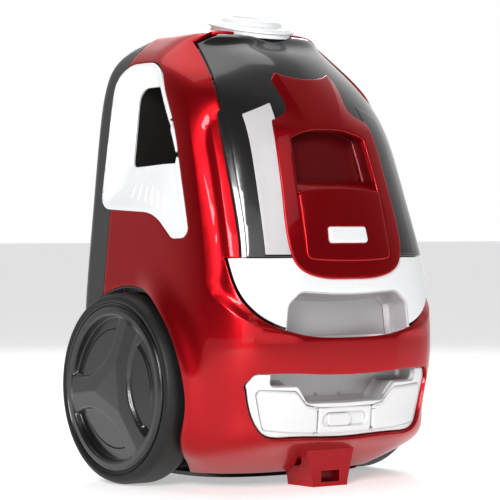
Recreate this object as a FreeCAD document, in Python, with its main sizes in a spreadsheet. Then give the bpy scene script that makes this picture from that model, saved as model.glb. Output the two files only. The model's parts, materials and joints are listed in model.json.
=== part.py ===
import FreeCAD, Part
import math
import os
import Sketcher
from FreeCAD import Placement, Rotation, Vector

# Canister vacuum cleaner standing on its tail, as it is stored.  Millimetres.
# +Z runs from the tail to the hose inlet, -Y is the side with the dust bin and pedals, +Y the underside
# that faces the floor in use, and X is the wheel axis.  The origin is below the middle, on the floor.

SIZES = {
    # skin
    "wall": 2.8, "seam": 76.2, "tail_seam": 12.0, "gap": 0.6,
    # wheels
    "tyre_radius": 86.0, "axle_y": 36.0, "wheel_inner": 106.0, "tyre_width": 41.0,
    "rim_radius": 77.0, "cap_radius": 76.4, "cap_crown": 3.6, "hub_bore": 6.05, "axle_radius": 6.0,
    "arch_radius": 90.0, "arch_plate": 102.6, "lens_radius": 62.0, "lens_offset": 78.0, "lens_depth": 4.0,
    # hose inlet
    "inlet_y": 24.0, "inlet_height": 416.0, "inlet_tilt": 11.0, "inlet_bore": 19.0, "inlet_tube": 21.5,
    "inlet_flange": 40.0, "flange_thick": 5.5, "inlet_ring": 28.0, "ring_thick": 5.0, "inlet_depth": 20.0,
    # dust bin
    "bin_split": 204.6, "bin_step": 4.0, "bin_wall": 2.5, "bin_back": -28.0, "bin_shelf": 362.0,
    "grip_depth": 26.0, "button_travel": 3.0, "bin_travel": 120.0,
    # control panel
    "panel_inset": 3.5, "pedal_inset": 2.5, "pedal_depth": 6.0, "panel_plate": 2.5, "pocket_back": -88.0,
    "knob_travel": 10.0, "pedal_travel": 4.0,
    # carry opening
    "frame_plate": 3.2, "lining": 2.5, "tunnel_half": 112.0,
    # parking bracket
    "tab_front": -92.0, "tab_depth": 36.0, "tab_top": 27.5, "tab_foot": 19.6, "tab_rise": 34.0,
    "slot_half": 10.3, "slot_low": 4.0, "slot_high": 14.0,
    # motor
    "motor_x": 44.0, "motor_y": 32.0, "can_radius": 44.0, "can_base": 46.0, "can_height": 84.0,
    "fan_radius": 52.0, "fan_height": 38.0, "shaft_radius": 4.0, "shaft_bore": 4.05, "bulkhead": 176.0,
    # cord reel
    "reel_x": -24.0, "reel_y": 32.0, "reel_height": 96.0, "reel_radius": 56.0, "drum_radius": 26.0,
    "reel_width": 46.0, "reel_bore": 6.05,
    # caster
    "caster_height": 352.0, "caster_cup": 36.0, "caster_trail": 14.0, "caster_radius": 15.0,
    "caster_width": 17.0, "caster_pin": 2.5, "caster_stem": 4.0, "caster_back": 122.0,
    # exhaust
    "grille_pin_y": 110.4, "grille_pin_z": 100.4, "grille_low": 98.0, "grille_high": 158.0, "grille_half": 48.0,
}

# Outer skin, from the tail up: height, half width, front y, back y, roundness, waist y, back corner radius.
STATIONS = [
    (8.0, 92.0, -52.0, 96.0, 3.0, 10.0, 20.0),
    (18.0, 105.0, -70.0, 106.0, 3.6, 10.0, 16.0),
    (26.0, 113.0, -82.0, 109.0, 4.2, 10.0, 14.0),
    (34.0, 120.0, -94.0, 111.0, 4.6, 10.0, 13.0),
    (43.0, 124.0, -108.0, 112.0, 4.3, 10.0, 12.0),
    (60.0, 127.0, -115.0, 112.0, 3.9, 10.0, 12.0),
    (105.0, 131.0, -121.0, 112.0, 4.0, 10.0, 12.0),
    (150.0, 131.0, -122.0, 112.0, 4.0, 10.0, 12.0),
    (195.0, 127.5, -119.5, 112.0, 3.9, 10.0, 12.0),
    (240.0, 123.0, -110.5, 112.0, 3.4, 10.0, 12.0),
    (285.0, 118.5, -98.0, 112.0, 3.0, 10.0, 12.0),
    (325.0, 114.0, -83.0, 112.0, 2.6, 10.0, 12.0),
    (350.0, 111.0, -68.5, 111.0, 2.1, 13.0, 13.0),
    (372.0, 105.0, -52.0, 109.5, 1.75, 27.0, 14.0),
    (388.0, 94.0, -33.0, 106.0, 1.85, 45.0, 16.0),
    (399.0, 80.0, -14.0, 100.0, 2.4, 50.0, 20.0),
    (408.0, 66.0, -2.0, 93.0, 2.9, 50.0, 24.0),
    (412.0, 55.0, 20.0, 87.0, 2.7, 52.0, 24.0),
    (415.0, 46.0, 30.0, 82.0, 2.6, 54.0, 20.0),
]
STATION_FIELDS = ("height", "width", "front", "back", "power", "waist", "corner")

# Outlines seen from the front, right half only, as (x, z).
BIN_TAIL = [(0, 135.5), (33, 136.5), (65, 142), (95, 156), (107, 171), (112, 190), (113, 204.6)]
BIN_CUP = [(101, 204.6), (98, 235), (96, 270), (94, 303), (89, 339), (81, 367), (74, 388), (71, 398.5)]
BIN_TOP = (51, 408)
COVER_SIDE = [(0, 185), (38, 187), (57, 197), (64, 222), (62, 255), (58, 300), (54, 330), (49, 352)]
COVER_PEAK = (29, 369)
COVER_DIP = (0, 364)
FLAP = [(0, 200), (46, 202.5), (49.5, 207), (46, 262), (0, 265.5)]
GRIP_HOLLOW = [(45, 262), (41.5, 308), (0, 317)]
WINDOW = [(86, 207), (62, 207), (50, 339), (77, 331)]
PANEL_SIDE = [(0, 42.5), (60, 45), (86, 49.5), (93, 58), (100, 75), (104.5, 95)]
PANEL_TOP = [(98, 104), (57, 103), (0, 100.5)]
PEDAL = [(31, 48), (60, 50), (87, 53.5), (96.5, 89.5), (57, 87.5), (53, 84.5), (44, 75), (31, 72)]
PLATE = [(29.6, 47.5), (29.6, 71.6)]
BAND_SPACE = (68.0, 100.0, 134.6)
POCKET = [(82, 103), (82, 92.5), (54, 92.5), (42, 75)]

# Outlines seen from the side: corners as (y, z, rounding radius).
SIDE_FRAME = [(90, 248, 10), (84, 380, 22), (24, 381, 30), (-12, 320, 150), (-46, 222, 10), (-24, 221, 9),
              (6, 244, 60)]
SIDE_HOLE = [(69, 285, 7), (69, 358.5, 13), (26, 358.5, 16), (-8, 318, 60), (-25, 287, 6)]

HOUSING_SCREWS = [(-88, 232), (88, 232), (-80, 300), (80, 300), (-60, 40), (60, 40)]

doc = FreeCAD.newDocument("CanisterVacuum")
sheet = doc.addObject("Spreadsheet::Sheet", "Sizes")
parts = {}


def fill_sheet():
    """Every driving size goes into one sheet, a row each, and the skin's stations follow."""
    row = 1
    for alias, value in SIZES.items():
        sheet.set("A%d" % row, alias)
        sheet.set("B%d" % row, str(value))
        sheet.setAlias("B%d" % row, alias)
        row += 1
    for index, station in enumerate(STATIONS):
        for field, value in zip(STATION_FIELDS, station):
            alias = "skin_%d_%s" % (index, field)
            sheet.set("A%d" % row, alias)
            sheet.set("B%d" % row, str(value))
            sheet.setAlias("B%d" % row, alias)
            row += 1
    doc.recompute()


def size(alias):
    return float(sheet.get(alias))


def bind(thing, **expressions):
    """Tie properties to the sheet: names in braces are its aliases."""
    for name, text in expressions.items():
        words = text.replace("{", "Sizes.").replace("}", "")
        thing.setExpression(name.replace("__", "."), words)


# ---------------------------------------------------------------- plain solids tied to the sheet

def cylinder(name, radius, height, base=Vector(), axis=Vector(0, 0, 1)):
    thing = doc.addObject("Part::Cylinder", name)
    bind(thing, Radius=radius, Height=height)
    thing.Placement = Placement(base, Rotation(Vector(0, 0, 1), axis))
    return thing


def cut(name, base, tool):
    thing = doc.addObject("Part::Cut", name)
    thing.Base, thing.Tool = base, tool
    return thing


def fuse(name, *pieces):
    thing = doc.addObject("Part::MultiFuse", name)
    thing.Shapes = list(pieces)
    return thing


def turned(name, profile, place=Placement()):
    """A Body turned about its own Z axis from a closed profile of (radius, height) expressions."""
    body = doc.addObject("PartDesign::Body", name)
    sketch = body.newObject("Sketcher::SketchObject", name + "_profile")
    plane = [f for f in body.Origin.OriginFeatures if f.Role == "XZ_Plane"][0]
    sketch.AttachmentSupport = [(plane, "")]
    sketch.MapMode = "FlatFace"
    count = len(profile)
    guess = [(value_of(r), value_of(z)) for r, z in profile]
    for i in range(count):
        a, b = guess[i], guess[(i + 1) % count]
        sketch.addGeometry(Part.LineSegment(Vector(a[0], a[1], 0), Vector(b[0], b[1], 0)), False)
    for i in range(count):
        sketch.addConstraint(rule("Coincident", i, 2, (i + 1) % count, 1))
    for i, (radius, height) in enumerate(profile):
        pin_vertex(sketch, i, "DistanceX", radius, guess[i][0])
        pin_vertex(sketch, i, "DistanceY", height, guess[i][1])
    spin = body.newObject("PartDesign::Revolution", name + "_turn")
    spin.Profile = sketch
    spin.ReferenceAxis = (sketch, ["V_Axis"])
    spin.Angle = 360.0
    body.Placement = place
    return body


def rule(kind, *values):
    return Sketcher.Constraint(kind, *values)


def pin_vertex(sketch, line, kind, text, value):
    """Hold the start of a line at a distance from the sketch's origin, on an axis where that is zero."""
    if abs(value) < 1e-9:
        axis = -2 if kind == "DistanceX" else -1
        sketch.addConstraint(rule("PointOnObject", line, 1, axis))
        return
    index = sketch.addConstraint(rule(kind, -1, 1, line, 1, value))
    if "{" in text:
        words = text.replace("{", "Sizes.").replace("}", "")
        sketch.setExpression("Constraints[%d]" % index, words)


def value_of(text):
    """The number that a sum of aliases and plain numbers comes to."""
    total = 0.0
    sign = 1.0
    for word in text.split():
        if word in "+-":
            sign = 1.0 if word == "+" else -1.0
        elif word.startswith("{"):
            total += sign * size(word.strip("{}"))
        else:
            total += sign * float(word)
    return total


# ---------------------------------------------------------------- skin and outlines

def skin_wire(station, inset):
    """One level of the skin: a superellipse front, straight flanks and a rounded, flat underside."""
    height, width, front, back, power, waist, corner = station
    width, front, back = width - inset, front + inset, back - inset
    corner = max(corner - inset, 3.0)
    depth = waist - front
    points = []
    steps = 20
    for k in range(steps + 1):
        angle = math.pi * k / steps
        reach = (abs(math.cos(angle)) ** power + abs(math.sin(angle)) ** power) ** (-1.0 / power)
        points.append(Vector(width * reach * math.cos(angle), waist - depth * reach * math.sin(angle), height))
    knots = [k / steps for k in range(steps + 1)]
    curve = Part.BSplineCurve()
    curve.interpolate(points, Parameters=knots, InitialTangent=Vector(0, -1, 0), FinalTangent=Vector(0, 1, 0))
    left, right = Vector(-width, back - corner, height), Vector(width, back - corner, height)
    low_left, low_right = Vector(corner - width, back, height), Vector(width - corner, back, height)
    slant = corner * (1.0 - math.sqrt(0.5))
    left_arc = Part.Arc(left, Vector(slant - width, back - slant, height), low_left)
    right_arc = Part.Arc(low_right, Vector(width - slant, back - slant, height), right)
    edges = [curve.toShape(), Part.LineSegment(points[-1], left).toShape(), left_arc.toShape(),
             Part.LineSegment(low_left, low_right).toShape(), right_arc.toShape(),
             Part.LineSegment(right, points[0]).toShape()]
    return Part.Wire(edges)


skins = {}


def skin(inset):
    """The solid inside the skin, drawn in by a wall's thickness on every side."""
    if inset not in skins:
        low, high = STATIONS[0][0], STATIONS[-1][0]
        middle, half = 0.5 * (low + high), 0.5 * (high - low)
        wires = []
        for index in range(len(STATIONS)):
            values = [size("skin_%d_%s" % (index, field)) for field in STATION_FIELDS]
            values[0] = middle + (values[0] - middle) * (1.0 - inset / half)
            wires.append(skin_wire(values, inset))
        skins[inset] = Part.makeLoft(wires, True, False, False, 3)
    return skins[inset]


def box(low, high):
    return Part.makeBox(high[0] - low[0], high[1] - low[1], high[2] - low[2], Vector(*low))


def run(points, at):
    """An edge through points: straight for two, a smooth curve for more."""
    places = [at(*p) for p in points]
    if len(places) == 2:
        return Part.LineSegment(*places).toShape()
    curve = Part.BSplineCurve()
    curve.interpolate(places)
    return curve.toShape()


def front_slab(runs, near, far):
    """A slab between two depths y whose outline in (x, z) is made of joined runs."""
    edges = [run(points, lambda x, z: Vector(x, near, z)) for points in runs]
    return Part.Face(Part.Wire(edges)).extrude(Vector(0, far - near, 0))


def flip(points):
    return [(-x, z) for x, z in reversed(points)]


def grown(points, amount, middle):
    """Points moved out from a middle height and from x = 0."""
    out = []
    for x, z in points:
        side = 0.0 if x == 0 else math.copysign(amount, x)
        rise = 0.0 if abs(z - middle) < 1e-6 else math.copysign(amount, z - middle)
        out.append((x + side, z + rise))
    return out


def symmetric_slab(right, near, far):
    """A slab mirrored left to right, from its right half, which starts low and ends high."""
    points = right + [(-x, z) for x, z in reversed(right) if x != 0]
    runs = [[points[i], points[(i + 1) % len(points)]] for i in range(len(points))]
    return front_slab(runs, near, far)


def bin_tail_slab(grow, near, far):
    side = grown(BIN_TAIL, grow, size("bin_split"))
    whole = flip(side) + side[1:]
    return front_slab([whole, [whole[-1], whole[0]]], near, far)


def bin_cup_slab(grow, near, far):
    side = [(x + grow, z) for x, z in BIN_CUP]
    top = (BIN_TOP[0] + 0.5 * grow, BIN_TOP[1] + grow)
    runs = [side, [side[-1], top], [top, (-top[0], top[1])], [(-top[0], top[1]), (-side[-1][0], side[-1][1])],
            flip(side), [(-side[0][0], side[0][1]), side[0]]]
    return front_slab(runs, near, far)


def cover_slab(grow, near, far):
    side = [(x + (grow if x else 0.0), z - (grow if i < 3 else 0.0)) for i, (x, z) in enumerate(COVER_SIDE)]
    peak = (COVER_PEAK[0] + 0.5 * grow, COVER_PEAK[1] + grow)
    dip = (COVER_DIP[0], COVER_DIP[1] + grow)
    whole = flip(side) + side[1:]
    runs = [whole, [whole[-1], peak], [peak, dip, (-peak[0], peak[1])], [(-peak[0], peak[1]), whole[0]]]
    return front_slab(runs, near, far)


def panel_slab(grow, near, far):
    side = [(x + (grow if x else 0.0), z - (grow if i < 3 else 0.0)) for i, (x, z) in enumerate(PANEL_SIDE)]
    top = [(x, z + grow) for x, z in PANEL_TOP]
    across = top + flip(top)[1:]
    whole = flip(side) + side[1:]
    return front_slab([whole, [whole[-1], across[0]], across, [across[-1], whole[0]]], near, far)


def rounded_loop(corners, at):
    """A closed wire of straight runs and tangent arcs from corners given as (u, v, radius)."""
    count = len(corners)
    bends = []
    for i, (u, v, radius) in enumerate(corners):
        here = Vector(u, v, 0)
        before = Vector(*corners[i - 1][:2], 0) - here
        after = Vector(*corners[(i + 1) % count][:2], 0) - here
        before.normalize()
        after.normalize()
        half = 0.5 * before.getAngle(after)
        reach = radius / math.tan(half)
        inward = (before + after).normalize()
        middle = here + inward * (radius / math.sin(half) - radius)
        bends.append((here + before * reach, middle, here + after * reach))
    edges = []
    for i, (start, middle, end) in enumerate(bends):
        edges.append(Part.Arc(at(start), at(middle), at(end)).toShape())
        edges.append(Part.LineSegment(at(end), at(bends[(i + 1) % count][0])).toShape())
    return Part.Wire(edges)


def side_slab(corners, grow, low, high):
    """A slab along X with a rounded outline in (y, z), grown by a margin all round."""
    wire = rounded_loop(corners, lambda p: Vector(low, p.x, p.y))
    face = Part.Face(wire)
    if grow:
        face = Part.Face(wire.makeOffset2D(grow))
    return face.extrude(Vector(high - low, 0, 0))


def straight_slab(points, near, far):
    runs = [[points[i], points[(i + 1) % len(points)]] for i in range(len(points))]
    return front_slab(runs, near, far)


def keep(name, shape):
    """Put a worked shape into the document as a sub-part."""
    thing = doc.addObject("Part::Feature", name)
    thing.Shape = shape
    parts[name] = thing
    return thing


def register(name, thing):
    thing.Label = name
    parts[name] = thing
    return thing


def sides():
    return (("left", -1.0), ("right", 1.0))


def tilted(shape_base=0.0):
    """Placement of the hose inlet: on the roof, its mouth leaning to the front."""
    lean = Rotation(Vector(1, 0, 0), size("inlet_tilt"))
    base = Vector(0, size("inlet_y"), size("inlet_height")) + lean.multVec(Vector(0, 0, shape_base))
    return Placement(base, lean)


def wheel_axis(sign, start):
    base = Vector(sign * start, size("axle_y"), size("tyre_radius"))
    return Placement(base, Rotation(Vector(0, 0, 1), Vector(sign, 0, 0)))


# ---------------------------------------------------------------- casings

def arch_hole(sign, radius):
    start = size("arch_plate")
    place = wheel_axis(sign, start)
    return Part.makeCylinder(radius, 80.0, place.Base, place.Rotation.multVec(Vector(0, 0, 1)))


def upper_shell():
    """Red casing with the roof, the flanks, the carry band across the front and the chin."""
    gap = size("gap")
    body = skin(0.0).cut(skin(size("wall")))
    body = body.common(box((-200, -200, size("tail_seam")), (200, size("seam"), 500)))
    body = body.cut(bin_tail_slab(gap + 1.0, -200, 60).common(box((-200, -200, 0), (200, 60, size("bin_split")))))
    body = body.cut(bin_cup_slab(gap, -200, 22))
    body = body.cut(panel_slab(0.0, -200, 0))
    body = body.cut(side_slab(SIDE_FRAME, gap, -200, 200))
    mouth = Part.makeCylinder(size("inlet_tube") + 0.3, 60)
    mouth.Placement = tilted(-40.0)
    seat = Part.makeCylinder(size("inlet_flange") + 0.3, 30)
    seat.Placement = tilted(-2.6)
    body = body.cut(mouth).cut(seat)
    for _, sign in sides():
        body = body.cut(arch_hole(sign, size("arch_radius") + 2.0))
    keep("upper_shell", body)


def lower_housing():
    """Black pan under the machine, which also closes the tail, with the caster cup and exhaust hole."""
    outer = skin(0.0)
    body = outer.cut(skin(size("wall")))
    pan = box((-200, size("seam") + 0.3, 0), (200, 200, 500))
    tail = box((-200, -200, 0), (200, size("seam") + 0.3, size("tail_seam") - 0.3))
    body = body.common(pan.fuse(tail))
    cup_radius, height = size("caster_cup"), size("caster_height")
    along = Vector(0, 1, 0)
    cup = Part.makeCylinder(cup_radius + 2.0, 60, Vector(0, 84, height), along)
    hollow = Part.makeCylinder(cup_radius, 60, Vector(0, 86, height), along)
    body = body.fuse(cup.common(outer)).cut(hollow)
    body = body.cut(Part.makeCylinder(size("caster_stem") + 0.05, 20, Vector(0, 80, height), along))
    half, low, high = size("grille_half"), size("grille_low"), size("grille_high")
    body = body.cut(box((-half, 100, low), (half, 130, high)))
    pin_y, pin_z = size("grille_pin_y"), size("grille_pin_z")
    body = body.cut(Part.makeCylinder(1.1, 2 * half + 5, Vector(-half - 2.5, pin_y, pin_z), Vector(1, 0, 0)))
    body = body.cut(side_slab(SIDE_FRAME, size("gap"), -200, 200).cut(box((-90, -100, 0), (90, 200, 500))))
    for _, sign in sides():
        body = body.cut(arch_hole(sign, size("arch_radius") + 2.0))
    for x, z in HOUSING_SCREWS:
        body = body.fuse(Part.makeCylinder(7.0, 8.0, Vector(x, 102, z), along).common(outer))
        body = body.cut(Part.makeCylinder(4.05, 4.0, Vector(x, 109, z), along))
    body = body.cut(Part.makeCylinder(9.05, 10, Vector(-52, 60, 4)))
    keep("lower_housing", body)


def wheel_wells():
    """Black linings of the wheel arches: a disc and a rim, inside the skin."""
    plate, radius = size("arch_plate"), size("arch_radius")
    for side, sign in sides():
        drum = arch_hole(sign, radius + 1.7)
        axis = Vector(sign, 0, 0)
        middle = wheel_axis(sign, plate + 2.0)
        hollow = Part.makeCylinder(radius, 80.0, middle.Base, axis)
        bore = Part.makeCylinder(size("axle_radius"), 30, wheel_axis(sign, plate - 10).Base, axis)
        well = drum.cut(hollow).cut(bore).common(skin(0.4))
        bounds = box((-200, -200, 0), (200, 111.0, 500))
        keep("wheel_well_" + side, well.common(bounds))


def side_frames():
    """Silver frames round the carry opening, one on each flank, with ribs below the opening."""
    shell = skin(-0.4).cut(skin(size("frame_plate")))
    for side, sign in sides():
        low, high = (60.0, 200.0) if sign > 0 else (-200.0, -60.0)
        frame = side_slab(SIDE_FRAME, 0.0, low, high).common(shell)
        frame = frame.cut(side_slab(SIDE_HOLE, 0.0, low, high))
        keep("side_frame_" + side, frame)


def grip_tunnel():
    """Black lining of the opening that runs from flank to flank."""
    half = size("tunnel_half")
    tube = side_slab(SIDE_HOLE, size("lining"), -half, half).cut(side_slab(SIDE_HOLE, 0.0, -half, half))
    keep("grip_tunnel", tube.common(skin(size("frame_plate") + 0.3)))


def parking_bracket():
    """Tab under the chin whose slot parks the floor tool's hook, and which the machine stands on."""
    front, depth = size("tab_front"), size("tab_depth")
    top, foot, rise = size("tab_top"), size("tab_foot"), size("tab_rise")
    tab = straight_slab([(-foot, 0), (foot, 0), (foot + 0.8, 6), (top, rise), (-top, rise), (-foot - 0.8, 6)],
                        front, front + depth)
    slot = size("slot_half")
    tab = tab.cut(box((-slot, front - 5, size("slot_low")), (slot, front + depth + 5, size("slot_high"))))
    keep("parking_bracket", tab.cut(skin(-0.05)))


def bin_bay():
    """Tray behind the dust bin, with the shelf over the carry opening and the air hole to the filter."""
    back, shelf = size("bin_back"), size("bin_shelf")
    wall = bin_tail_slab(-1.5, back + 1.0, back + 3.2).common(box((-200, -60, 0), (200, 60, size("bin_split"))))
    wall = wall.fuse(bin_cup_slab(-1.5, back + 1.0, back + 3.2).common(box((-200, -60, 0), (200, 60, shelf + 1))))
    ledge = box((-76, back + 1.0, shelf - 1.2), (76, 4.0, shelf + 1.0))
    wall = wall.fuse(ledge).common(skin(size("wall") + 0.3))
    wall = wall.cut(Part.makeCylinder(24, 20, Vector(0, back - 5, 232), Vector(0, 1, 0)))
    keep("bin_bay", wall)


# ---------------------------------------------------------------- control panel

def panel_frame():
    """Pale frame of the pedals, with the finger pocket above them and behind the carry band."""
    inset = size("panel_inset")
    plate = panel_slab(-size("gap"), -200, 0).common(skin(inset).cut(skin(inset + size("panel_plate"))))
    back = size("pocket_back")
    outer = [(84, 106)] + [(x + (2 if x > 60 else -1), z - 1.8) for x, z in POCKET[1:]]
    inner = [(82, 103.8)] + POCKET[1:]
    tray = symmetric_slab(list(reversed(outer)), -200, back + 2.0).fuse(band_space(2.0, back + 2.0))
    hollow = symmetric_slab(list(reversed(inner)), -200, back).fuse(band_space(0.0, back))
    frame = plate.fuse(tray.common(skin(inset))).cut(hollow)
    hole = grown_pedals(0.5)
    frame = frame.cut(hole)
    keep("panel_frame", frame)


def band_space(grow, back):
    """Finger room behind the carry band, open upwards to the hollow in the bin's tail."""
    half, low, high = BAND_SPACE
    return box((-half - grow, -200, low), (half + grow, back, high))


def grown_pedals(gap):
    """The opening that the two pedals and the middle plate fill together."""
    bottom = [(PEDAL[1][0], PEDAL[1][1] - gap), (PEDAL[2][0] + gap, PEDAL[2][1] - gap)]
    top = [(PEDAL[3][0] + gap, PEDAL[3][1] + gap), (PEDAL[4][0], PEDAL[4][1] + gap),
           (PEDAL[5][0] - gap, PEDAL[5][1] + gap), (PEDAL[6][0] - gap, PEDAL[6][1] + gap),
           (PEDAL[7][0], PEDAL[7][1] + gap)]
    right = [(PLATE[0][0], PLATE[0][1] - gap)] + bottom + top
    return symmetric_slab(right, -200, size("pocket_back"))


def pedals():
    """Two foot pedals that follow the panel's surface and are pressed straight in."""
    inset = size("pedal_inset")
    pad = skin(inset).cut(skin(inset + size("pedal_depth")))
    for name, sign in (("rewind_pedal", -1.0), ("power_pedal", 1.0)):
        outline = [(sign * x, z) for x, z in PEDAL]
        shape = straight_slab(outline, -200, -60).common(pad)
        stem = Part.makeCylinder(5.0, 10.0, Vector(sign * 64, -109, 66), Vector(0, 1, 0))
        keep(name, shape.fuse(stem))


def slider_parts():
    """Fixed middle plate with its slot, the knob that slides in it and the control behind it."""
    inset = size("pedal_inset")
    half, low, high = PLATE[0][0], PLATE[0][1], PLATE[1][1]
    plate = straight_slab([(-half, low), (half, low), (half, high), (-half, high)], -200, -60)
    plate = plate.common(skin(inset).cut(skin(inset + 4.0)))
    slot = box((-19, -200, 54.5), (19, -60, 67.5))
    for x in (-19, 19):
        slot = slot.fuse(Part.makeCylinder(6.5, 140, Vector(x, -200, 61), Vector(0, 1, 0)))
    keep("slider_plate", plate.cut(slot))
    knob = box((-15, -119.5, 55), (1, -108, 67))
    for x in (-15, 1):
        knob = knob.fuse(Part.makeCylinder(6.0, 11.5, Vector(x, -119.5, 61), Vector(0, 1, 0)))
    knob = knob.common(skin(inset - 0.6))
    knob = knob.fuse(box((-11, -110, 58), (-3, -104, 64)))
    keep("slider_knob", knob)
    keep("slider_control", box((-22, -102, 52), (22, -94, 70)))


def pedal_inner_parts():
    """Switch behind the power pedal, brake lever behind the rewind pedal and the circuit board."""
    keep("power_switch", box((54, -94.5, 58), (74, -78, 74)))
    keep("circuit_board", box((-40, -84, 40), (40, -82.4, 74)))
    lever = box((-70, -98.7, 62), (-58, -95.7, 72)).fuse(box((-66, -95.7, 64), (-62, -32, 68)))
    keep("brake_push_rod", lever)


# ---------------------------------------------------------------- dust bin

def bin_space():
    """The solid that the whole bin fills, before it is hollowed and divided."""
    step, back, shelf, split = size("bin_step"), size("bin_back"), size("bin_shelf"), size("bin_split")
    core = skin(step)
    tail = bin_tail_slab(0.0, -200, back).common(box((-200, -200, 0), (200, back, split)))
    cup = bin_cup_slab(0.0, -200, 20)
    low_cup = cup.common(box((-200, -200, split), (200, back, shelf + 2.2)))
    high_cup = cup.common(box((-200, -200, shelf + 2.2), (200, 20, 408)))
    behind = box((-47, 3.5, shelf), (47, 60, 420))
    return core, tail, low_cup.fuse(high_cup).cut(behind)


def bin_parts():
    """Cup, tail cover, windows, front cover with its hand hollow, flap and what is inside."""
    wall, back, split, shelf = size("bin_wall"), size("bin_back"), size("bin_split"), size("bin_shelf")
    core, tail, cup = bin_space()
    inner = skin(size("bin_step") + wall)
    tail_body = tail.common(core)
    tail_core = bin_tail_slab(-wall, -200, back - wall).common(inner)
    tail_core = tail_core.common(box((-200, -200, 0), (200, back, split - wall)))
    tail_shell = tail_body.cut(tail_core)
    depth = size("grip_depth")
    low = [(71, 130), (66.5, 161), (57, 171.5), (0, 170)]
    pocket_out = symmetric_slab([(x + 2, z + 2) if z > 150 else (x + 2, 130) for x, z in low], -200, -118 + depth + 2)
    pocket_in = symmetric_slab(low, -200, -118 + depth)
    tail_shell = tail_shell.fuse(pocket_out.common(tail_body)).cut(pocket_in)

    cup_body = cup.common(skin(size("bin_step")))
    cup_core = bin_cup_slab(-wall, -200, back - wall).common(inner)
    cup_core = cup_core.common(box((-200, -200, split + wall), (200, back - wall, 400)))
    top_core = bin_cup_slab(-wall, -200, 1.0).common(inner).common(box((-200, -200, shelf + 4.8), (200, 1.0, 400)))
    cup_shell = cup_body.cut(cup_core.fuse(top_core))

    hollow_in = hand_hollow(0.0)
    hollow_out = hand_hollow(2.0)
    cup_shell = cup_shell.cut(hollow_out)
    window = [straight_slab([(s * x, z) for x, z in WINDOW], -200, -40) for s in (-1.0, 1.0)]
    panes = skin(size("bin_step") + 0.05).cut(skin(size("bin_step") + wall - 0.2))
    for name, slab in (("bin_window_left", window[0]), ("bin_window_right", window[1])):
        keep(name, slab.common(panes))
        cup_shell = cup_shell.cut(slab.common(skin(1.0)))
    inlet = Part.makeCylinder(17.5, 30, Vector(0, -10, 384), Vector(0, 1, 0))
    outlet = Part.makeCylinder(22, 20, Vector(0, back - 6, 232), Vector(0, 1, 0))
    seat = straight_slab([(-24, 214.5), (24, 214.5), (22.5, 232.5), (-22.5, 232.5)], -200, -60)
    cup_shell = cup_shell.cut(inlet).cut(outlet).cut(seat)
    keep("bin_cup", cup_shell)
    keep("bin_tail_cover", tail_shell)

    cover = cover_slab(0.0, -200, 0).common(skin(0.6).cut(skin(size("bin_step"))))
    walls = hollow_out.common(skin(size("bin_step") - 0.6))
    cover = cover.fuse(walls).cut(hollow_in).cut(seat)
    keep("bin_front_cover", cover)
    flap = front_flap(seat)
    keep("bin_flap", flap)
    button = straight_slab([(-22.5, 216.5), (22.5, 216.5), (21, 230.5), (-21, 230.5)], -200, -60)
    stem = Part.makeCylinder(4.0, 14.0, Vector(0, -114, 223.5), Vector(0, 1, 0))
    keep("bin_button", button.common(skin(-2.6).cut(skin(3.5))).fuse(stem))


def hand_hollow(grow):
    """Hollow that the fingers reach into, over the flap, cut into the front cover."""
    low, side, top = GRIP_HOLLOW
    points = [(low[0] + grow, low[1] - grow), (side[0] + grow, side[1] + grow)]
    dome = [points[1], (top[0], top[1] + grow), (-points[1][0], points[1][1])]
    runs = [[(-points[0][0], points[0][1]), points[0]], [points[0], points[1]], dome,
            [(-points[1][0], points[1][1]), (-points[0][0], points[0][1])]]
    back = -98.0 + size("grip_depth") + grow + 12.0
    return front_slab(runs, -200, back)


def front_flap(seat):
    """Raised pad over the lower half of the front cover, round the release button."""
    whole = symmetric_slab(FLAP, -200, 0)
    return whole.common(skin(-1.4).cut(skin(0.6))).cut(seat)


def bin_inner_parts():
    """Cyclone cones on their plate, the mesh screen, the foam in its frame and the seals."""
    cones = box((-80, -62, 352), (80, -31.5, 355))
    for x in (-54, 0, 54):
        shell = Part.makeCone(5.5, 13.5, 84, Vector(x, -47, 268))
        bore = Part.makeCone(4.0, 12.0, 90, Vector(x, -47, 267))
        cones = cones.fuse(shell).cut(bore)
    inside = skin(size("bin_step") + size("bin_wall") + 0.5)
    keep("cyclone_cones", cones.common(inside))
    screen = Part.makeCylinder(20, 34, Vector(0, -56, 214)).cut(Part.makeCylinder(18.8, 40, Vector(0, -56, 211)))
    for level in range(3):
        for k in range(10):
            way = Vector(math.cos(math.pi * k / 5), math.sin(math.pi * k / 5), 0)
            hole = Part.makeCylinder(3.4, 30, Vector(0, -56, 221 + 10 * level), way)
            screen = screen.cut(hole)
    keep("mesh_screen", screen)


def bin_seal():
    """Soft ring round the air hole, between the bin's back and its bay."""
    ring = [("24.5", "0"), ("30", "0"), ("30", "0.85"), ("24.5", "0.85")]
    place = Placement(Vector(0, size("bin_back") + 0.1, 232), Rotation(Vector(0, 0, 1), Vector(0, 1, 0)))
    register("bin_seal", turned("bin_seal", ring, place))


# ---------------------------------------------------------------- hose inlet

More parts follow.
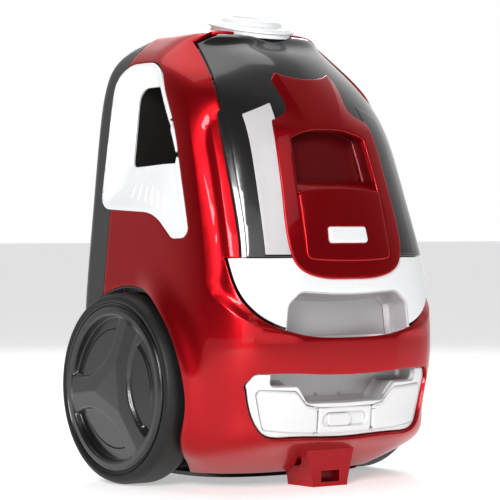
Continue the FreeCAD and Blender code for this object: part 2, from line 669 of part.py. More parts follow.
def hose_inlet():
    """Ring and flange that the hose end plugs into, and the elbow that leads to the bin."""
    profile = [("{inlet_bore}", "0"), ("{inlet_tube}", "0"), ("{inlet_tube}", "{inlet_depth} - 2.5"),
               ("{inlet_flange} - 2.5", "{inlet_depth} - 2.5"), ("{inlet_flange}", "{inlet_depth} - 0.5"),
               ("{inlet_flange}", "{inlet_depth} + 0.5"), ("{inlet_flange} - 4", "{inlet_depth} + 2.5"),
               ("{inlet_ring} + 1", "{inlet_depth} + 3"), ("{inlet_ring} - 1", "{inlet_depth} + 7"),
               ("{inlet_bore} + 2", "{inlet_depth} + 8"), ("{inlet_bore}", "{inlet_depth} + 6")]
    register("hose_inlet_collar", turned("hose_inlet_collar", profile, tilted(-size("inlet_depth"))))
    elbow = box((-25, 5.0, 365), (25, 50, 392)).cut(box((-22.5, 4, 367.5), (22.5, 47.5, 400)))
    elbow = elbow.cut(skin(-5).cut(skin(size("wall") + 0.3)))
    keep("inlet_elbow", elbow)


# ---------------------------------------------------------------- wheels

def wheels():
    """Two big rear wheels: rubber tyre, hub, decorative cap, steel stub axle and its clip."""
    width = "{tyre_width}"
    tyre = [("{rim_radius}", "0"), ("{tyre_radius} - 6", "0"), ("{tyre_radius} - 1.5", "3"),
            ("{tyre_radius}", "8"), ("{tyre_radius}", width + " - 12"), ("{tyre_radius} - 2", width + " - 5"),
            ("{tyre_radius} - 6", width + " - 1"), ("{tyre_radius} - 8", width), ("{rim_radius}", width)]
    hub = [("{hub_bore}", "2"), ("13", "2"), ("13", "14"), ("{rim_radius} - 4", "22"), ("{rim_radius} - 4", "4"),
           ("{rim_radius}", "4"), ("{rim_radius}", width + " - 8"), ("{rim_radius} - 3", width + " - 8"),
           ("{rim_radius} - 4", "26"), ("13", "18"), ("13", "22"), ("{hub_bore}", "22")]
    cap = [("0", "35"), ("{cap_radius} - 8", width + " - 7"), ("{cap_radius}", width + " - 7"),
           ("{cap_radius}", width + " - 1"), ("{cap_radius} - 2", width + " + 0.5"),
           ("{cap_radius} - 30", width + " + 2.6"), ("0", width + " + {cap_crown}")]
    axle = [("0", "0"), ("{axle_radius}", "0"), ("{axle_radius}", "30"), ("0", "30")]
    inner, plate = size("wheel_inner"), size("arch_plate")
    for side, sign in sides():
        place = wheel_axis(sign, inner)
        register("tyre_" + side, turned("tyre_" + side, tyre, place))
        register("wheel_hub_" + side, turned("wheel_hub_" + side, hub, place))
        blank = turned("cap_blank_" + side, cap, place)
        register("hub_cap_" + side, cut("hub_cap_" + side, blank, lenses(side, sign)))
        register("axle_" + side, turned("axle_" + side, axle, wheel_axis(sign, plate - 2.0)))
        clip = Part.makeCylinder(10, 1.5).cut(Part.makeCylinder(size("axle_radius") - 0.8, 1.5))
        clip = clip.cut(box((-3, 0, 0), (3, 12, 2)))
        clip.Placement = wheel_axis(sign, inner + 22.4)
        shaft = Part.makeCylinder(size("axle_radius"), 40, wheel_axis(sign, inner).Base, Vector(sign, 0, 0))
        keep("axle_clip_" + side, clip.cut(shaft))


def lenses(side, sign):
    """Three lens-shaped pockets at 120 degrees in the cap's face."""
    far = size("wheel_inner") + size("tyre_width") - size("lens_depth") + 3.0
    tools = []
    for k in range(3):
        turn = math.radians(90.0 + 30.0 * sign + 120.0 * k)
        out = Vector(0, math.cos(turn), math.sin(turn))
        hub = Vector(sign * far, size("axle_y"), size("tyre_radius"))
        ring = cylinder("lens_ring_%s_%d" % (side, k), "{cap_radius} - 5", "20", hub, Vector(sign, 0, 0))
        disc = cylinder("lens_disc_%s_%d" % (side, k), "{lens_radius}", "20",
                        hub + out * size("lens_offset"), Vector(sign, 0, 0))
        both = doc.addObject("Part::Common", "lens_%s_%d" % (side, k))
        both.Base, both.Tool = ring, disc
        tools.append(both)
    return fuse("lenses_" + side, *tools)


def caster():
    """Swivelling caster on the underside near the hose end: fork, pin and wheel."""
    height, trail = size("caster_height"), size("caster_trail")
    back, radius, width = size("caster_back"), size("caster_radius"), size("caster_width")
    along = Vector(0, 1, 0)
    middle = back - radius
    fork = Part.makeCylinder(24, 3, Vector(0, 86.6, height), along)
    fork = fork.fuse(Part.makeCylinder(size("caster_stem"), 12, Vector(0, 76, height), along))
    for sign in (-1.0, 1.0):
        x = sign * (0.5 * width + 2.3)
        arm = box((x - 1.5, 88, height - trail - 6), (x + 1.5, middle + 6, height - trail + 6))
        fork = fork.fuse(arm)
    fork = fork.fuse(Part.makeCylinder(7, 1.6, Vector(0, 80.2, height), along))
    pin_base = Vector(-0.5 * width - 4.5, middle, height - trail)
    fork = fork.cut(Part.makeCylinder(size("caster_pin"), width + 9, pin_base, Vector(1, 0, 0)))
    keep("caster_fork", fork)
    register("caster_pin", cylinder("caster_pin", "{caster_pin}", "{caster_width} + 9", pin_base, Vector(1, 0, 0)))
    profile = [("{caster_pin} + 0.05", "0"), ("{caster_radius} - 3", "0"), ("{caster_radius}", "3"),
               ("{caster_radius}", "{caster_width} - 3"), ("{caster_radius} - 3", "{caster_width}"),
               ("{caster_pin} + 0.05", "{caster_width}")]
    place = Placement(Vector(-0.5 * width, middle, height - trail), Rotation(Vector(0, 0, 1), Vector(1, 0, 0)))
    register("caster_wheel", turned("caster_wheel", profile, place))


# ---------------------------------------------------------------- machinery

def motor():
    """Motor can, fan casing and the rotor with its impeller, between the bulkhead and a rubber foot."""
    x, y, base, tall = size("motor_x"), size("motor_y"), size("can_base"), size("can_height")
    can = [("0", "0"), ("{can_radius}", "0"), ("{can_radius}", "{can_height}"),
           ("{can_radius} - 3", "{can_height}"), ("{can_radius} - 3", "4"), ("8", "4"), ("8", "10"),
           ("{shaft_bore}", "10"), ("{shaft_bore}", "2"), ("0", "2")]
    register("motor_can", turned("motor_can", can, Placement(Vector(x, y, base), Rotation())))
    fan = [("{shaft_bore}", "0.2"), ("{fan_radius}", "0.2"), ("{fan_radius}", "{fan_height}"), ("24", "{fan_height}"),
           ("24", "{fan_height} - 2"), ("{fan_radius} - 2.5", "{fan_height} - 2"), ("{fan_radius} - 2.5", "3"),
           ("{shaft_bore}", "3")]
    register("fan_casing", turned("fan_casing", fan, Placement(Vector(x, y, base + tall), Rotation())))
    rotor = [("0", "2.5"), ("{shaft_radius}", "2.5"), ("{shaft_radius}", "14"), ("27", "14"), ("27", "66"),
             ("{shaft_radius}", "66"), ("{shaft_radius}", "{can_height} + 8"),
             ("{fan_radius} - 6", "{can_height} + 8"), ("{fan_radius} - 6", "{can_height} + 11"),
             ("16", "{can_height} + 26"), ("7", "{can_height} + 26"), ("7", "{can_height} + 30"),
             ("0", "{can_height} + 30")]
    register("motor_rotor", turned("motor_rotor", rotor, Placement(Vector(x, y, base), Rotation())))
    foot = [("0", "0"), ("{can_radius} - 10", "0"), ("{can_radius} - 10", "6"), ("0", "6")]
    register("motor_foot", turned("motor_foot", foot, Placement(Vector(x, y, base - 6.1), Rotation())))
    ring = [("26", "0"), ("46", "0"), ("46", "7.6"), ("26", "7.6")]
    top = base + tall + size("fan_height")
    register("motor_seal", turned("motor_seal", ring, Placement(Vector(x, y, top + 0.1), Rotation())))


def chamber_parts():
    """Bulkhead over the motor, the stand under it, and the filter between the bin and the motor."""
    level = size("bulkhead")
    slab = skin(size("wall") + 0.3).common(box((-101, -24.0, level), (101, 108.5, level + 3)))
    slab = slab.cut(Part.makeCylinder(25, 10, Vector(size("motor_x"), size("motor_y"), level - 3)))
    for _, sign in sides():
        slab = slab.cut(arch_hole(sign, size("arch_radius") + 2.0))
    keep("motor_bulkhead", slab)
    stand = box((4, -6, 11.5), (84, 70, 39.8)).cut(box((10, -1, 11), (78, 65, 36)))
    keep("motor_stand", stand)
    frame = box((-58, -23.5, 190), (58, -3.5, 270)).cut(box((-52, -26, 196), (52, 0, 264)))
    bars = box((-52, -5.5, 228), (52, -3.5, 232))
    keep("filter_frame", frame.fuse(bars))
    keep("motor_filter", box((-51.8, -23.3, 196.2), (51.8, -5.7, 263.8)))


def cord_reel():
    """Empty cord drum on its axle, its spring case and the stand that carries it."""
    x, y, height = size("reel_x"), size("reel_y"), size("reel_height")
    turn = Rotation(Vector(0, 0, 1), Vector(-1, 0, 0))
    drum = [("{reel_bore}", "0"), ("{reel_radius}", "0"), ("{reel_radius}", "2"), ("{drum_radius}", "2"),
            ("{drum_radius}", "{reel_width} - 2"), ("{reel_radius}", "{reel_width} - 2"),
            ("{reel_radius}", "{reel_width}"), ("{reel_bore}", "{reel_width}")]
    register("cord_drum", turned("cord_drum", drum, Placement(Vector(x, y, height), turn)))
    axle = [("0", "0"), ("{axle_radius}", "0"), ("{axle_radius}", "{reel_width} + 18"),
            ("0", "{reel_width} + 18")]
    register("reel_axle", turned("reel_axle", axle, Placement(Vector(x + 6, y, height), turn)))
    case = [("{axle_radius}", "0"), ("34", "0"), ("34", "9"), ("{axle_radius}", "9")]
    start = x - size("reel_width") - 1.5
    register("rewind_spring_case", turned("rewind_spring_case", case, Placement(Vector(start, y, height), turn)))
    far = start - 9.2
    posts = box((far - 3, y - 12, 11.5), (far, y + 12, height + 12))
    posts = posts.fuse(box((x + 2, y - 12, 11.5), (x + 5, y + 12, height + 12)))
    stand = posts.fuse(box((far - 3, y - 12, 11.5), (x + 5, y + 12, 14.5)))
    stand = stand.cut(Part.makeCylinder(size("axle_radius"), 90, Vector(far - 10, y, height), Vector(1, 0, 0)))
    keep("reel_stand", stand)
    ring = [("5", "0"), ("9", "0"), ("9", "3.4"), ("11", "3.4"), ("11", "5.4"), ("5", "5.4")]
    gland = Placement(Vector(-52, 60, 7.4), Rotation())
    register("cord_outlet", turned("cord_outlet", ring, gland))


def exhaust():
    """Hinged outlet grille on the underside and the filter block behind it."""
    half, low, high = size("grille_half") - 0.8, size("grille_low") + 0.8, size("grille_high") - 0.8
    pin_y, pin_z = size("grille_pin_y"), size("grille_pin_z")
    along = Vector(1, 0, 0)
    door = box((-half, pin_y - 1.4, pin_z), (half, pin_y + 1.4, high))
    door = door.fuse(Part.makeCylinder(1.4, 2 * half, Vector(-half, pin_y, pin_z), along))
    door = door.fuse(Part.makeCylinder(1.0, 2 * half + 4, Vector(-half - 2, pin_y, pin_z), along))
    rows = 6
    pitch = (high - low - 12.0) / rows
    for k in range(rows):
        base = low + 8.0 + k * pitch
        door = door.cut(box((-half + 8, 100, base), (half - 8, 120, base + 0.45 * pitch)))
    keep("exhaust_grille", door)
    keep("exhaust_filter", box((-half + 2, 92.0, low + 2), (half - 2, 106.5, high - 2)))


def fasteners():
    """Pan-head screws that join the pan to the shell."""
    screws = None
    for x, z in HOUSING_SCREWS:
        back = 112.0
        head = Part.makeCylinder(4.0, 2.4, Vector(x, back - 3.0, z), Vector(0, 1, 0))
        drive = box((x - 2.4, back - 1.6, z - 0.5), (x + 2.4, back, z + 0.5))
        drive = drive.fuse(box((x - 0.5, back - 1.6, z - 2.4), (x + 0.5, back, z + 2.4)))
        head = head.cut(drive)
        screws = head if screws is None else screws.fuse(head)
    keep("housing_screws", screws)


# ---------------------------------------------------------------- build, check and write

def build():
    fill_sheet()
    upper_shell()
    lower_housing()
    wheel_wells()
    side_frames()
    grip_tunnel()
    parking_bracket()
    bin_bay()
    panel_frame()
    pedals()
    slider_parts()
    pedal_inner_parts()
    bin_parts()
    bin_inner_parts()
    bin_seal()
    hose_inlet()
    wheels()
    caster()
    motor()
    chamber_parts()
    cord_reel()
    exhaust()
    fasteners()
    doc.recompute()


def check_and_write():
    for thing in doc.Objects:
        if "Invalid" in thing.State or "Error" in thing.State:
            raise RuntimeError("feature failed: " + thing.Name)
    os.makedirs("parts", exist_ok=True)
    for name, thing in sorted(parts.items()):
        shape = thing.Shape
        if shape.isNull() or not shape.isValid() or shape.Volume <= 0:
            raise RuntimeError("bad shape: " + name)
        bounds = shape.BoundBox
        print("%-22s solids %d  volume %9.0f  x %7.1f %7.1f  y %7.1f %7.1f  z %6.1f %6.1f" % (
            name, len(shape.Solids), shape.Volume, bounds.XMin, bounds.XMax, bounds.YMin, bounds.YMax,
            bounds.ZMin, bounds.ZMax))
        shape.exportStep("parts/%s.step" % name)


build()
check_and_write()
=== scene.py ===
import json
import math
import bpy
import numpy as np
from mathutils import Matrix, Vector
from mathutils.geometry import delaunay_2d_cdt


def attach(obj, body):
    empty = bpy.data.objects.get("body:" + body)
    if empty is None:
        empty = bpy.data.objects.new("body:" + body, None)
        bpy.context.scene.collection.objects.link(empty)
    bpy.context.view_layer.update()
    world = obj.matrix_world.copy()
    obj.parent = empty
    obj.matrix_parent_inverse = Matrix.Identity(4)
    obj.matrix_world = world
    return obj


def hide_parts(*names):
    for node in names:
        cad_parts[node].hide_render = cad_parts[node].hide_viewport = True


# Looks of the canister vacuum cleaner.  Shapes are worked out in millimetres, in the frame's axes.
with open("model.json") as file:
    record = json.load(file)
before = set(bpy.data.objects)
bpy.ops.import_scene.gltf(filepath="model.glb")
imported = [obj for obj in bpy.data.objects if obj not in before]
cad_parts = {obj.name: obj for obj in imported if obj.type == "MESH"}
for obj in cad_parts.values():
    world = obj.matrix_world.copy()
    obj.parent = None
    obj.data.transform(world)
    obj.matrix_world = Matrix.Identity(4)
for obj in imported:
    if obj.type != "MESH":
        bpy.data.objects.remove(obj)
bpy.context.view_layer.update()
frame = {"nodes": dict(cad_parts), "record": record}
MM = 0.001

# ---------------------------------------------------------------- the skin

# Sections of the skin from the floor up: height, half width, y of the front, roundness of the corner,
# y of the waist where the rounded front meets the straight flank.  The last rows close the roof.
STATIONS = [
    (8.0, 92.0, -52.0, 3.0, 10.0), (18.0, 105.0, -70.0, 3.6, 10.0), (26.0, 113.0, -82.0, 4.2, 10.0),
    (34.0, 120.0, -94.0, 4.6, 10.0), (43.0, 124.0, -108.0, 4.3, 10.0), (60.0, 127.0, -115.0, 3.9, 10.0),
    (105.0, 131.0, -121.0, 4.0, 10.0), (150.0, 131.0, -122.0, 4.0, 10.0), (195.0, 127.5, -119.5, 3.9, 10.0),
    (240.0, 123.0, -110.5, 3.4, 10.0), (285.0, 118.5, -98.0, 3.0, 10.0), (325.0, 114.0, -83.0, 2.6, 10.0),
    (350.0, 111.0, -68.5, 2.1, 13.0), (372.0, 105.0, -52.0, 1.75, 27.0), (388.0, 94.0, -33.0, 1.85, 45.0),
    (399.0, 80.0, -14.0, 2.4, 50.0), (408.0, 66.0, -2.0, 2.9, 50.0), (412.0, 55.0, 20.0, 2.7, 52.0),
    (415.5, 38.0, 38.0, 2.5, 56.0), (416.2, 18.0, 49.0, 2.2, 58.0), (416.4, 1.0, 57.0, 2.0, 58.5)]
HALF = 230.0        # width given in the flat domain to the quarter from the middle to the flank
SEAM = 76.2         # y of the joint between the red shell and the black underside
AXLE = (36.0, 86.0)                     # y and z of the wheels' axle
ARCH = 92.0                             # radius of the wheel arch
MOUTH = (0.0, 24.0, 416.0)              # middle of the hose inlet, on the roof
MOUTH_LEAN = math.radians(11.0)         # how far its axis leans forward
MOUTH_HOLE = 25.0                       # radius left open in the roof for it

# How far the face of each piece stands over the plain skin; below it where negative.
LIFT = {"tail_cover": -1.5, "cup": -1.2, "window": -0.95, "front_cover": 0.8, "hand_hollow": 0.8,
        "ledge": -1.0, "flap": 2.0, "button": 3.8, "panel": -3.0, "pedal": -1.6, "slider_bed": -2.2,
        "slider_floor": -5.0, "knob": -1.2, "sign": -1.8, "side_frame": -0.4}
RECESS_FLOOR = -92.0                    # y of the floor of the recess in the tail cover
PANEL_FLOOR = -88.0                     # y of the floor of the panel's pocket


def spline(xs, ys):
    """A natural cubic spline through points, as a function of arrays."""
    xs, ys = np.asarray(xs, float), np.asarray(ys, float)
    n, h = len(xs), np.diff(xs)
    a = np.zeros((n, n))
    b = np.zeros(n)
    a[0, 0] = a[-1, -1] = 1.0
    for i in range(1, n - 1):
        a[i, i - 1], a[i, i], a[i, i + 1] = h[i - 1], 2 * (h[i - 1] + h[i]), h[i]
        b[i] = 6 * ((ys[i + 1] - ys[i]) / h[i] - (ys[i] - ys[i - 1]) / h[i - 1])
    m = np.linalg.solve(a, b)

    def value(x):
        x = np.asarray(x, float)
        i = np.clip(np.searchsorted(xs, x) - 1, 0, n - 2)
        t, w = x - xs[i], h[i]
        slope = (ys[i + 1] - ys[i]) / w - w * (2 * m[i] + m[i + 1]) / 6
        return ys[i] + t * (slope + t * (m[i] / 2 + t * (m[i + 1] - m[i]) / (6 * w)))
    return value


def ramp(d, soft=0.8):
    """0 before a crease and the distance after it, rounded over a small width."""
    return np.where(d < -soft, 0.0, np.where(d > soft, d, (d + soft) ** 2 / (4 * soft)))


def ease(t):
    t = np.clip(t, 0.0, 1.0)
    return t * t * (3 - 2 * t)


table = np.array(STATIONS)
run = np.concatenate([[0], np.cumsum(np.hypot(np.diff(table[:, 0]), np.diff(table[:, 1])))])
height_at, width_at, front_at, power_at, waist_at = [spline(run, table[:, k]) for k in range(5)]
fine_v = np.linspace(0, run[-1], 4001)
fine_z = np.maximum.accumulate(height_at(fine_v))


def level(z):
    """How far up the skin a height is, along the skin."""
    return np.interp(z, fine_z, fine_v)


def skin_point(u, v):
    """A point of the skin from its flat domain: u round from the middle of the front, v up along it."""
    w, f, n, waist = width_at(v), front_at(v), power_at(v), waist_at(v)
    angle = np.clip(np.abs(u) / HALF, 0, 1) * math.pi / 2
    s, c = np.sin(angle), np.cos(angle)
    reach = (s ** n + c ** n) ** (-1.0 / n)
    x = np.where(np.abs(u) < HALF, w * reach * s, w) * np.sign(u)
    y = np.where(np.abs(u) < HALF, waist - (waist - f) * reach * c, waist + np.abs(u) - HALF)
    return np.stack([x, y, height_at(v)], -1)


def skin_normal(u, v):
    step = 0.15
    du = skin_point(u + step, v) - skin_point(u - step, v)
    dv = skin_point(u, v + step) - skin_point(u, v - step)
    n = np.cross(du, dv)
    return n / np.maximum(np.linalg.norm(n, axis=-1, keepdims=True), 1e-9)


def from_front(points):
    """Flat domain points of an outline seen from the front, (x, z)."""
    p = np.asarray(points, float)
    v = level(p[:, 1])
    n = power_at(v)
    k = np.clip(np.abs(p[:, 0]) / width_at(v), 0, 0.9999) ** n
    angle = np.arctan((k / (1 - k)) ** (1 / n))
    return np.stack([np.sign(p[:, 0]) * angle / (math.pi / 2) * HALF, v], -1)


def from_side(points, sign):
    """Flat domain points of an outline seen from the side, (y, z)."""
    p = np.asarray(points, float)
    v = level(p[:, 1])
    n, waist, f = power_at(v), waist_at(v), front_at(v)
    m = np.clip((waist - p[:, 0]) / (waist - f), 1e-4, 1) ** n
    angle = np.arctan(((1 - m) / m) ** (1 / n))
    u = np.where(p[:, 0] > waist, HALF + p[:, 0] - waist, angle / (math.pi / 2) * HALF)
    return np.stack([sign * u, v], -1)


# ---------------------------------------------------------------- outlines

def rounded(corners, steps=7):
    """A closed outline from corners (a, b, radius), each corner turned into an arc."""
    out = []
    count = len(corners)
    for i, (a, b, radius) in enumerate(corners):
        here = np.array([a, b], float)
        back = np.array(corners[i - 1][:2], float) - here
        on = np.array(corners[(i + 1) % count][:2], float) - here
        limit = 0.45 * min(np.linalg.norm(back), np.linalg.norm(on))
        back /= np.linalg.norm(back)
        on /= np.linalg.norm(on)
        half = 0.5 * math.acos(np.clip(back @ on, -1, 1))
        if radius <= 0 or half > 1.56:
            out.append(here)
            continue
        reach = min(radius / math.tan(half), limit)
        radius = reach * math.tan(half)
        middle = (back + on) / np.linalg.norm(back + on)
        centre = here + middle * radius / math.sin(half)
        start, end = here + back * reach - centre, here + on * reach - centre
        sweep = math.pi - 2 * half
        for k in range(steps + 1):
            t = k / steps
            p = start * math.sin((1 - t) * sweep) + end * math.sin(t * sweep)
            out.append(centre + p / math.sin(sweep))
    return np.array(out)


def through(points, gap=2.0):
    """A smooth open line through points, with even steps."""
    p = np.asarray(points, float)
    t = np.concatenate([[0], np.cumsum(np.linalg.norm(np.diff(p, axis=0), axis=1))])
    fine = np.linspace(0, t[-1], max(3, int(t[-1] / gap) + 1))
    return np.stack([spline(t, p[:, 0])(fine), spline(t, p[:, 1])(fine)], -1)


def spaced(loop, gap, closed=True):
    """The same outline with its long runs divided."""
    ends = np.roll(loop, -1, axis=0) if closed else loop[1:]
    out = []
    for a, b in zip(loop, ends):
        n = max(1, int(math.ceil(np.linalg.norm(b - a) / gap)))
        out += [a + (b - a) * k / n for k in range(n)]
    if not closed:
        out.append(loop[-1])
    return np.array(out)


def offset(loop, amount):
    """An outline grown by an amount, or shrunk where it is negative; corners are kept."""
    loop = np.asarray(loop, float)
    area = 0.5 * np.sum(loop[:, 0] * np.roll(loop[:, 1], -1) - np.roll(loop[:, 0], -1) * loop[:, 1])
    on = np.roll(loop, -1, 0) - loop
    on /= np.maximum(np.linalg.norm(on, axis=1, keepdims=True), 1e-9)
    side = np.stack([on[:, 1], -on[:, 0]], 1) * np.sign(area)
    mean = side + np.roll(side, 1, 0)
    mean /= np.maximum((mean ** 2).sum(1, keepdims=True) / 2, 0.7)
    return loop + mean * amount


def inside(points, loop):
    """Which points lie in a closed outline."""
    x, y = points[:, 0], points[:, 1]
    hit = np.zeros(len(points), bool)
    for (ax, ay), (bx, by) in zip(loop, np.roll(loop, -1, 0)):
        if ay == by:
            continue
        crosses = (ay > y) != (by > y)
        hit ^= crosses & (x < (bx - ax) * (y - ay) / (by - ay) + ax)
    return hit


def distance(points, line, closed=False):
    """Distance from points to a line, and on which side of it they are (positive to its left)."""
    ends = np.roll(line, -1, 0) if closed else line[1:]
    best = np.full(len(points), 1e9)
    side = np.ones(len(points))
    for a, b in zip(line, ends):
        d = b - a
        length = d @ d
        if length < 1e-12:
            continue
        rel = points - a
        t = np.clip(rel @ d / length, 0, 1)
        gap = np.linalg.norm(rel - t[:, None] * d, axis=1)
        nearer = gap < best - 1e-9
        best = np.where(nearer, gap, best)
        side = np.where(nearer, np.sign(d[0] * rel[:, 1] - d[1] * rel[:, 0] + 1e-12), side)
    return best, side


# ---------------------------------------------------------------- meshes

def make(name, points, faces, body, finish, replaces=(), slot=None):
    """A mesh piece from points in millimetres."""
    mesh = bpy.data.meshes.new(name)
    mesh.from_pydata([tuple(p) for p in np.asarray(points) * MM], [], [list(map(int, f)) for f in faces])
    mesh.validate()
    mesh.shade_smooth()
    mesh.materials.append(finish)
    thing = bpy.data.objects.new(name, mesh)
    bpy.context.scene.collection.objects.link(thing)
    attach(thing, body)
    if replaces:
        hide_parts(*replaces)
    return thing


def filled(outer, holes=(), lines=(), step=3.0):
    """Triangles over an outline with holes in it, on an even grid that keeps the given lines."""
    edges_of = []
    points = []
    for loop, closed in [(outer, True)] + [(h, True) for h in holes] + [(l, False) for l in lines]:
        base = len(points)
        even = spaced(np.asarray(loop, float), step, closed)
        points += list(even)
        n = len(even)
        edges_of += [(base + k, base + (k + 1) % n) for k in range(n if closed else n - 1)]
    rim = np.array(points)
    low, high = np.min(outer, 0), np.max(outer, 0)
    xs = np.arange(low[0] + step / 2, high[0], step)
    ys = np.arange(low[1] + step / 2, high[1], step)
    grid = np.stack(np.meshgrid(xs, ys), -1).reshape(-1, 2)
    keep = inside(grid, outer)
    for h in holes:
        keep &= ~inside(grid, h)
    grid = grid[keep]
    cells = {}
    for p in rim:
        cells.setdefault((int(p[0] // step), int(p[1] // step)), []).append(p)
    free = []
    for p in grid:
        i, j = int(p[0] // step), int(p[1] // step)
        near = [q for a in (-1, 0, 1) for b in (-1, 0, 1) for q in cells.get((i + a, j + b), ())]
        if not near or np.min(np.linalg.norm(np.array(near) - p, axis=1)) > 0.55 * step:
            free.append(p)
    every = [Vector(p) for p in rim] + [Vector(p) for p in free]
    made = delaunay_2d_cdt(every, edges_of, [], 0, 1e-5)
    flat = np.array([tuple(p) for p in made[0]])
    faces = np.array([f for f in made[2] if len(f) == 3])
    middle = flat[faces].mean(1)
    keep = inside(middle, outer)
    for h in holes:
        keep &= ~inside(middle, h)
    faces = faces[keep]
    a, b, c = flat[faces[:, 0]], flat[faces[:, 1]], flat[faces[:, 2]]
    turn = (b[:, 0] - a[:, 0]) * (c[:, 1] - a[:, 1]) - (b[:, 1] - a[:, 1]) * (c[:, 0] - a[:, 0])
    faces[turn < 0] = faces[turn < 0][:, ::-1]
    used = np.unique(faces)
    index = np.full(len(flat), -1)
    index[used] = np.arange(len(used))
    return flat[used], index[faces]


def rolled(radius, depth, steps=4):
    """Rows (out, down) of a rounded edge that ends in a wall."""
    rows = []
    for k in range(1, steps + 1):
        a = math.pi / 2 * k / steps
        rows.append((radius * math.sin(a), radius * (1 - math.cos(a))))
    rows.append((radius, radius + 0.5 * (depth - radius)))
    rows.append((radius, depth))
    return rows


def edged(points, normals, faces, rows):
    """Adds rows of faces from the open edges of a mesh: each row is (out, down) in millimetres."""
    faces = np.asarray(faces)
    pairs = np.concatenate([faces[:, [0, 1]], faces[:, [1, 2]], faces[:, [2, 0]]])
    keys = {tuple(p) for p in pairs}
    rim = [(a, b) for a, b in keys if (b, a) not in keys]
    follow, lead = {}, {}
    for a, b in rim:
        follow[a], lead[b] = b, a
    ring = sorted(set(follow) & set(lead))
    kept = set(ring)
    points, normals = list(points), np.asarray(normals)
    place = np.array(points)
    out = {}
    for i in ring:
        a, b = place[lead[i]], place[follow[i]]
        t1, t2 = place[i] - a, b - place[i]
        t1 /= max(np.linalg.norm(t1), 1e-9)
        t2 /= max(np.linalg.norm(t2), 1e-9)
        o = np.cross(t1, normals[i]) + np.cross(t2, normals[i])
        length = np.linalg.norm(o)
        out[i] = o / length * min(2 / max(length, 1e-6), 1.4) if length > 1e-6 else o
    faces = [list(f) for f in faces]
    last = {i: i for i in ring}
    for away, down in rows:
        now = {}
        for i in ring:
            now[i] = len(points)
            points.append(place[i] + out[i] * away - normals[i] * down)
        for i in ring:
            j = follow[i]
            if j in kept:
                faces.append([last[j], last[i], now[i], now[j]])
        last = now
    return points, faces


def sheet(name, flat, faces, place, rows, body, finish, flip=False, drop=None, **more):
    """A surface given by a function of the flat domain, with its edges rolled over by rows."""
    points = place(flat)
    e = 0.2
    du = place(flat + [e, 0]) - place(flat - [e, 0])
    dv = place(flat + [0, e]) - place(flat - [0, e])
    normals = np.cross(du, dv) * (-1 if flip else 1)
    normals /= np.maximum(np.linalg.norm(normals, axis=1, keepdims=True), 1e-9)
    faces = np.asarray(faces)[:, ::-1] if flip else np.asarray(faces)
    if drop is not None:
        faces = faces[~drop(points[faces].mean(1))]
    points, faces = edged(points, normals, faces, rows)
    return make(name, points, faces, body, finish, **more)


def skin_sheet(name, outer, holes, lines, lift, rows, body, finish, step=3.0, **more):
    """A panel that follows the skin: lift gives its height over it from the flat domain."""
    flat, faces = filled(outer, holes, lines, step)
    return sheet(name, flat, faces, lambda p: skin_place(p, lift(p)), rows, body, finish, **more)


def flat_of(points):
    """Flat domain points of places on the skin given as (x, y, z)."""
    p = np.asarray(points, float)
    v = level(p[:, 2])
    across = np.abs(p[:, 0]) / width_at(v)
    along = (waist_at(v) - p[:, 1]) / (waist_at(v) - front_at(v))
    angle = np.arctan2(across, np.maximum(along, 1e-6))
    return np.stack([np.sign(p[:, 0]) * angle / (math.pi / 2) * HALF, v], -1)


def mirror(line):
    return np.asarray(line, float) * [-1, 1]


def whole(right):
    """A closed outline from the right half of it, a line that starts and ends at x = 0 or across it."""
    left = mirror(right)[::-1]
    if abs(right[-1][0]) < 1e-6:
        left = left[1:]
    if abs(right[0][0]) < 1e-6:
        left = left[:-1]
    return np.concatenate([np.asarray(right, float), left])


def belly(points):
    """The right half of a smooth symmetrical line whose first point is at x = 0."""
    p = np.asarray(points, float)
    line = through(np.concatenate([mirror(p[1:])[::-1], p]))
    return line[line[:, 0] >= -1e-6]


def skin_place(p, height=0.0):
    p = np.asarray(p, float)
    height = np.broadcast_to(height, len(p))
    return skin_point(p[:, 0], p[:, 1]) + skin_normal(p[:, 0], p[:, 1]) * height[:, None]


def bead(name, line, width, height, lift, body, finish, closed=False):
    """A raised rounded line that follows the skin; its ends run out to nothing."""
    line = np.asarray(line, float)
    place = skin_place(line, lift)
    normal = skin_normal(line[:, 0], line[:, 1])
    on = np.roll(place, -1, 0) - np.roll(place, 1, 0)
    if not closed:
        on[0], on[-1] = place[1] - place[0], place[-1] - place[-2]
    on /= np.linalg.norm(on, axis=1, keepdims=True)
    side = np.cross(normal, on)
    n = len(line)
    size = np.ones(n)
    if not closed:
        size = np.clip(np.minimum(np.arange(n), np.arange(n)[::-1]) / max(2, n * 0.12), 0.05, 1) ** 0.5
    section = [(math.cos(a), math.sin(a)) for a in np.linspace(math.pi, 0, 7)]
    points, faces = [], []
    for k in range(n):
        for a, b in section:
            out = b * height * size[k] - 0.05
            points.append(place[k] + side[k] * a * width * size[k] + normal[k] * out)
    m = len(section)
    for k in range(n if closed else n - 1):
        for j in range(m - 1):
            a, b = k * m + j, (k + 1) % n * m + j
            faces.append([a, b, b + 1, a + 1])
    return make(name, points, faces, body, finish)


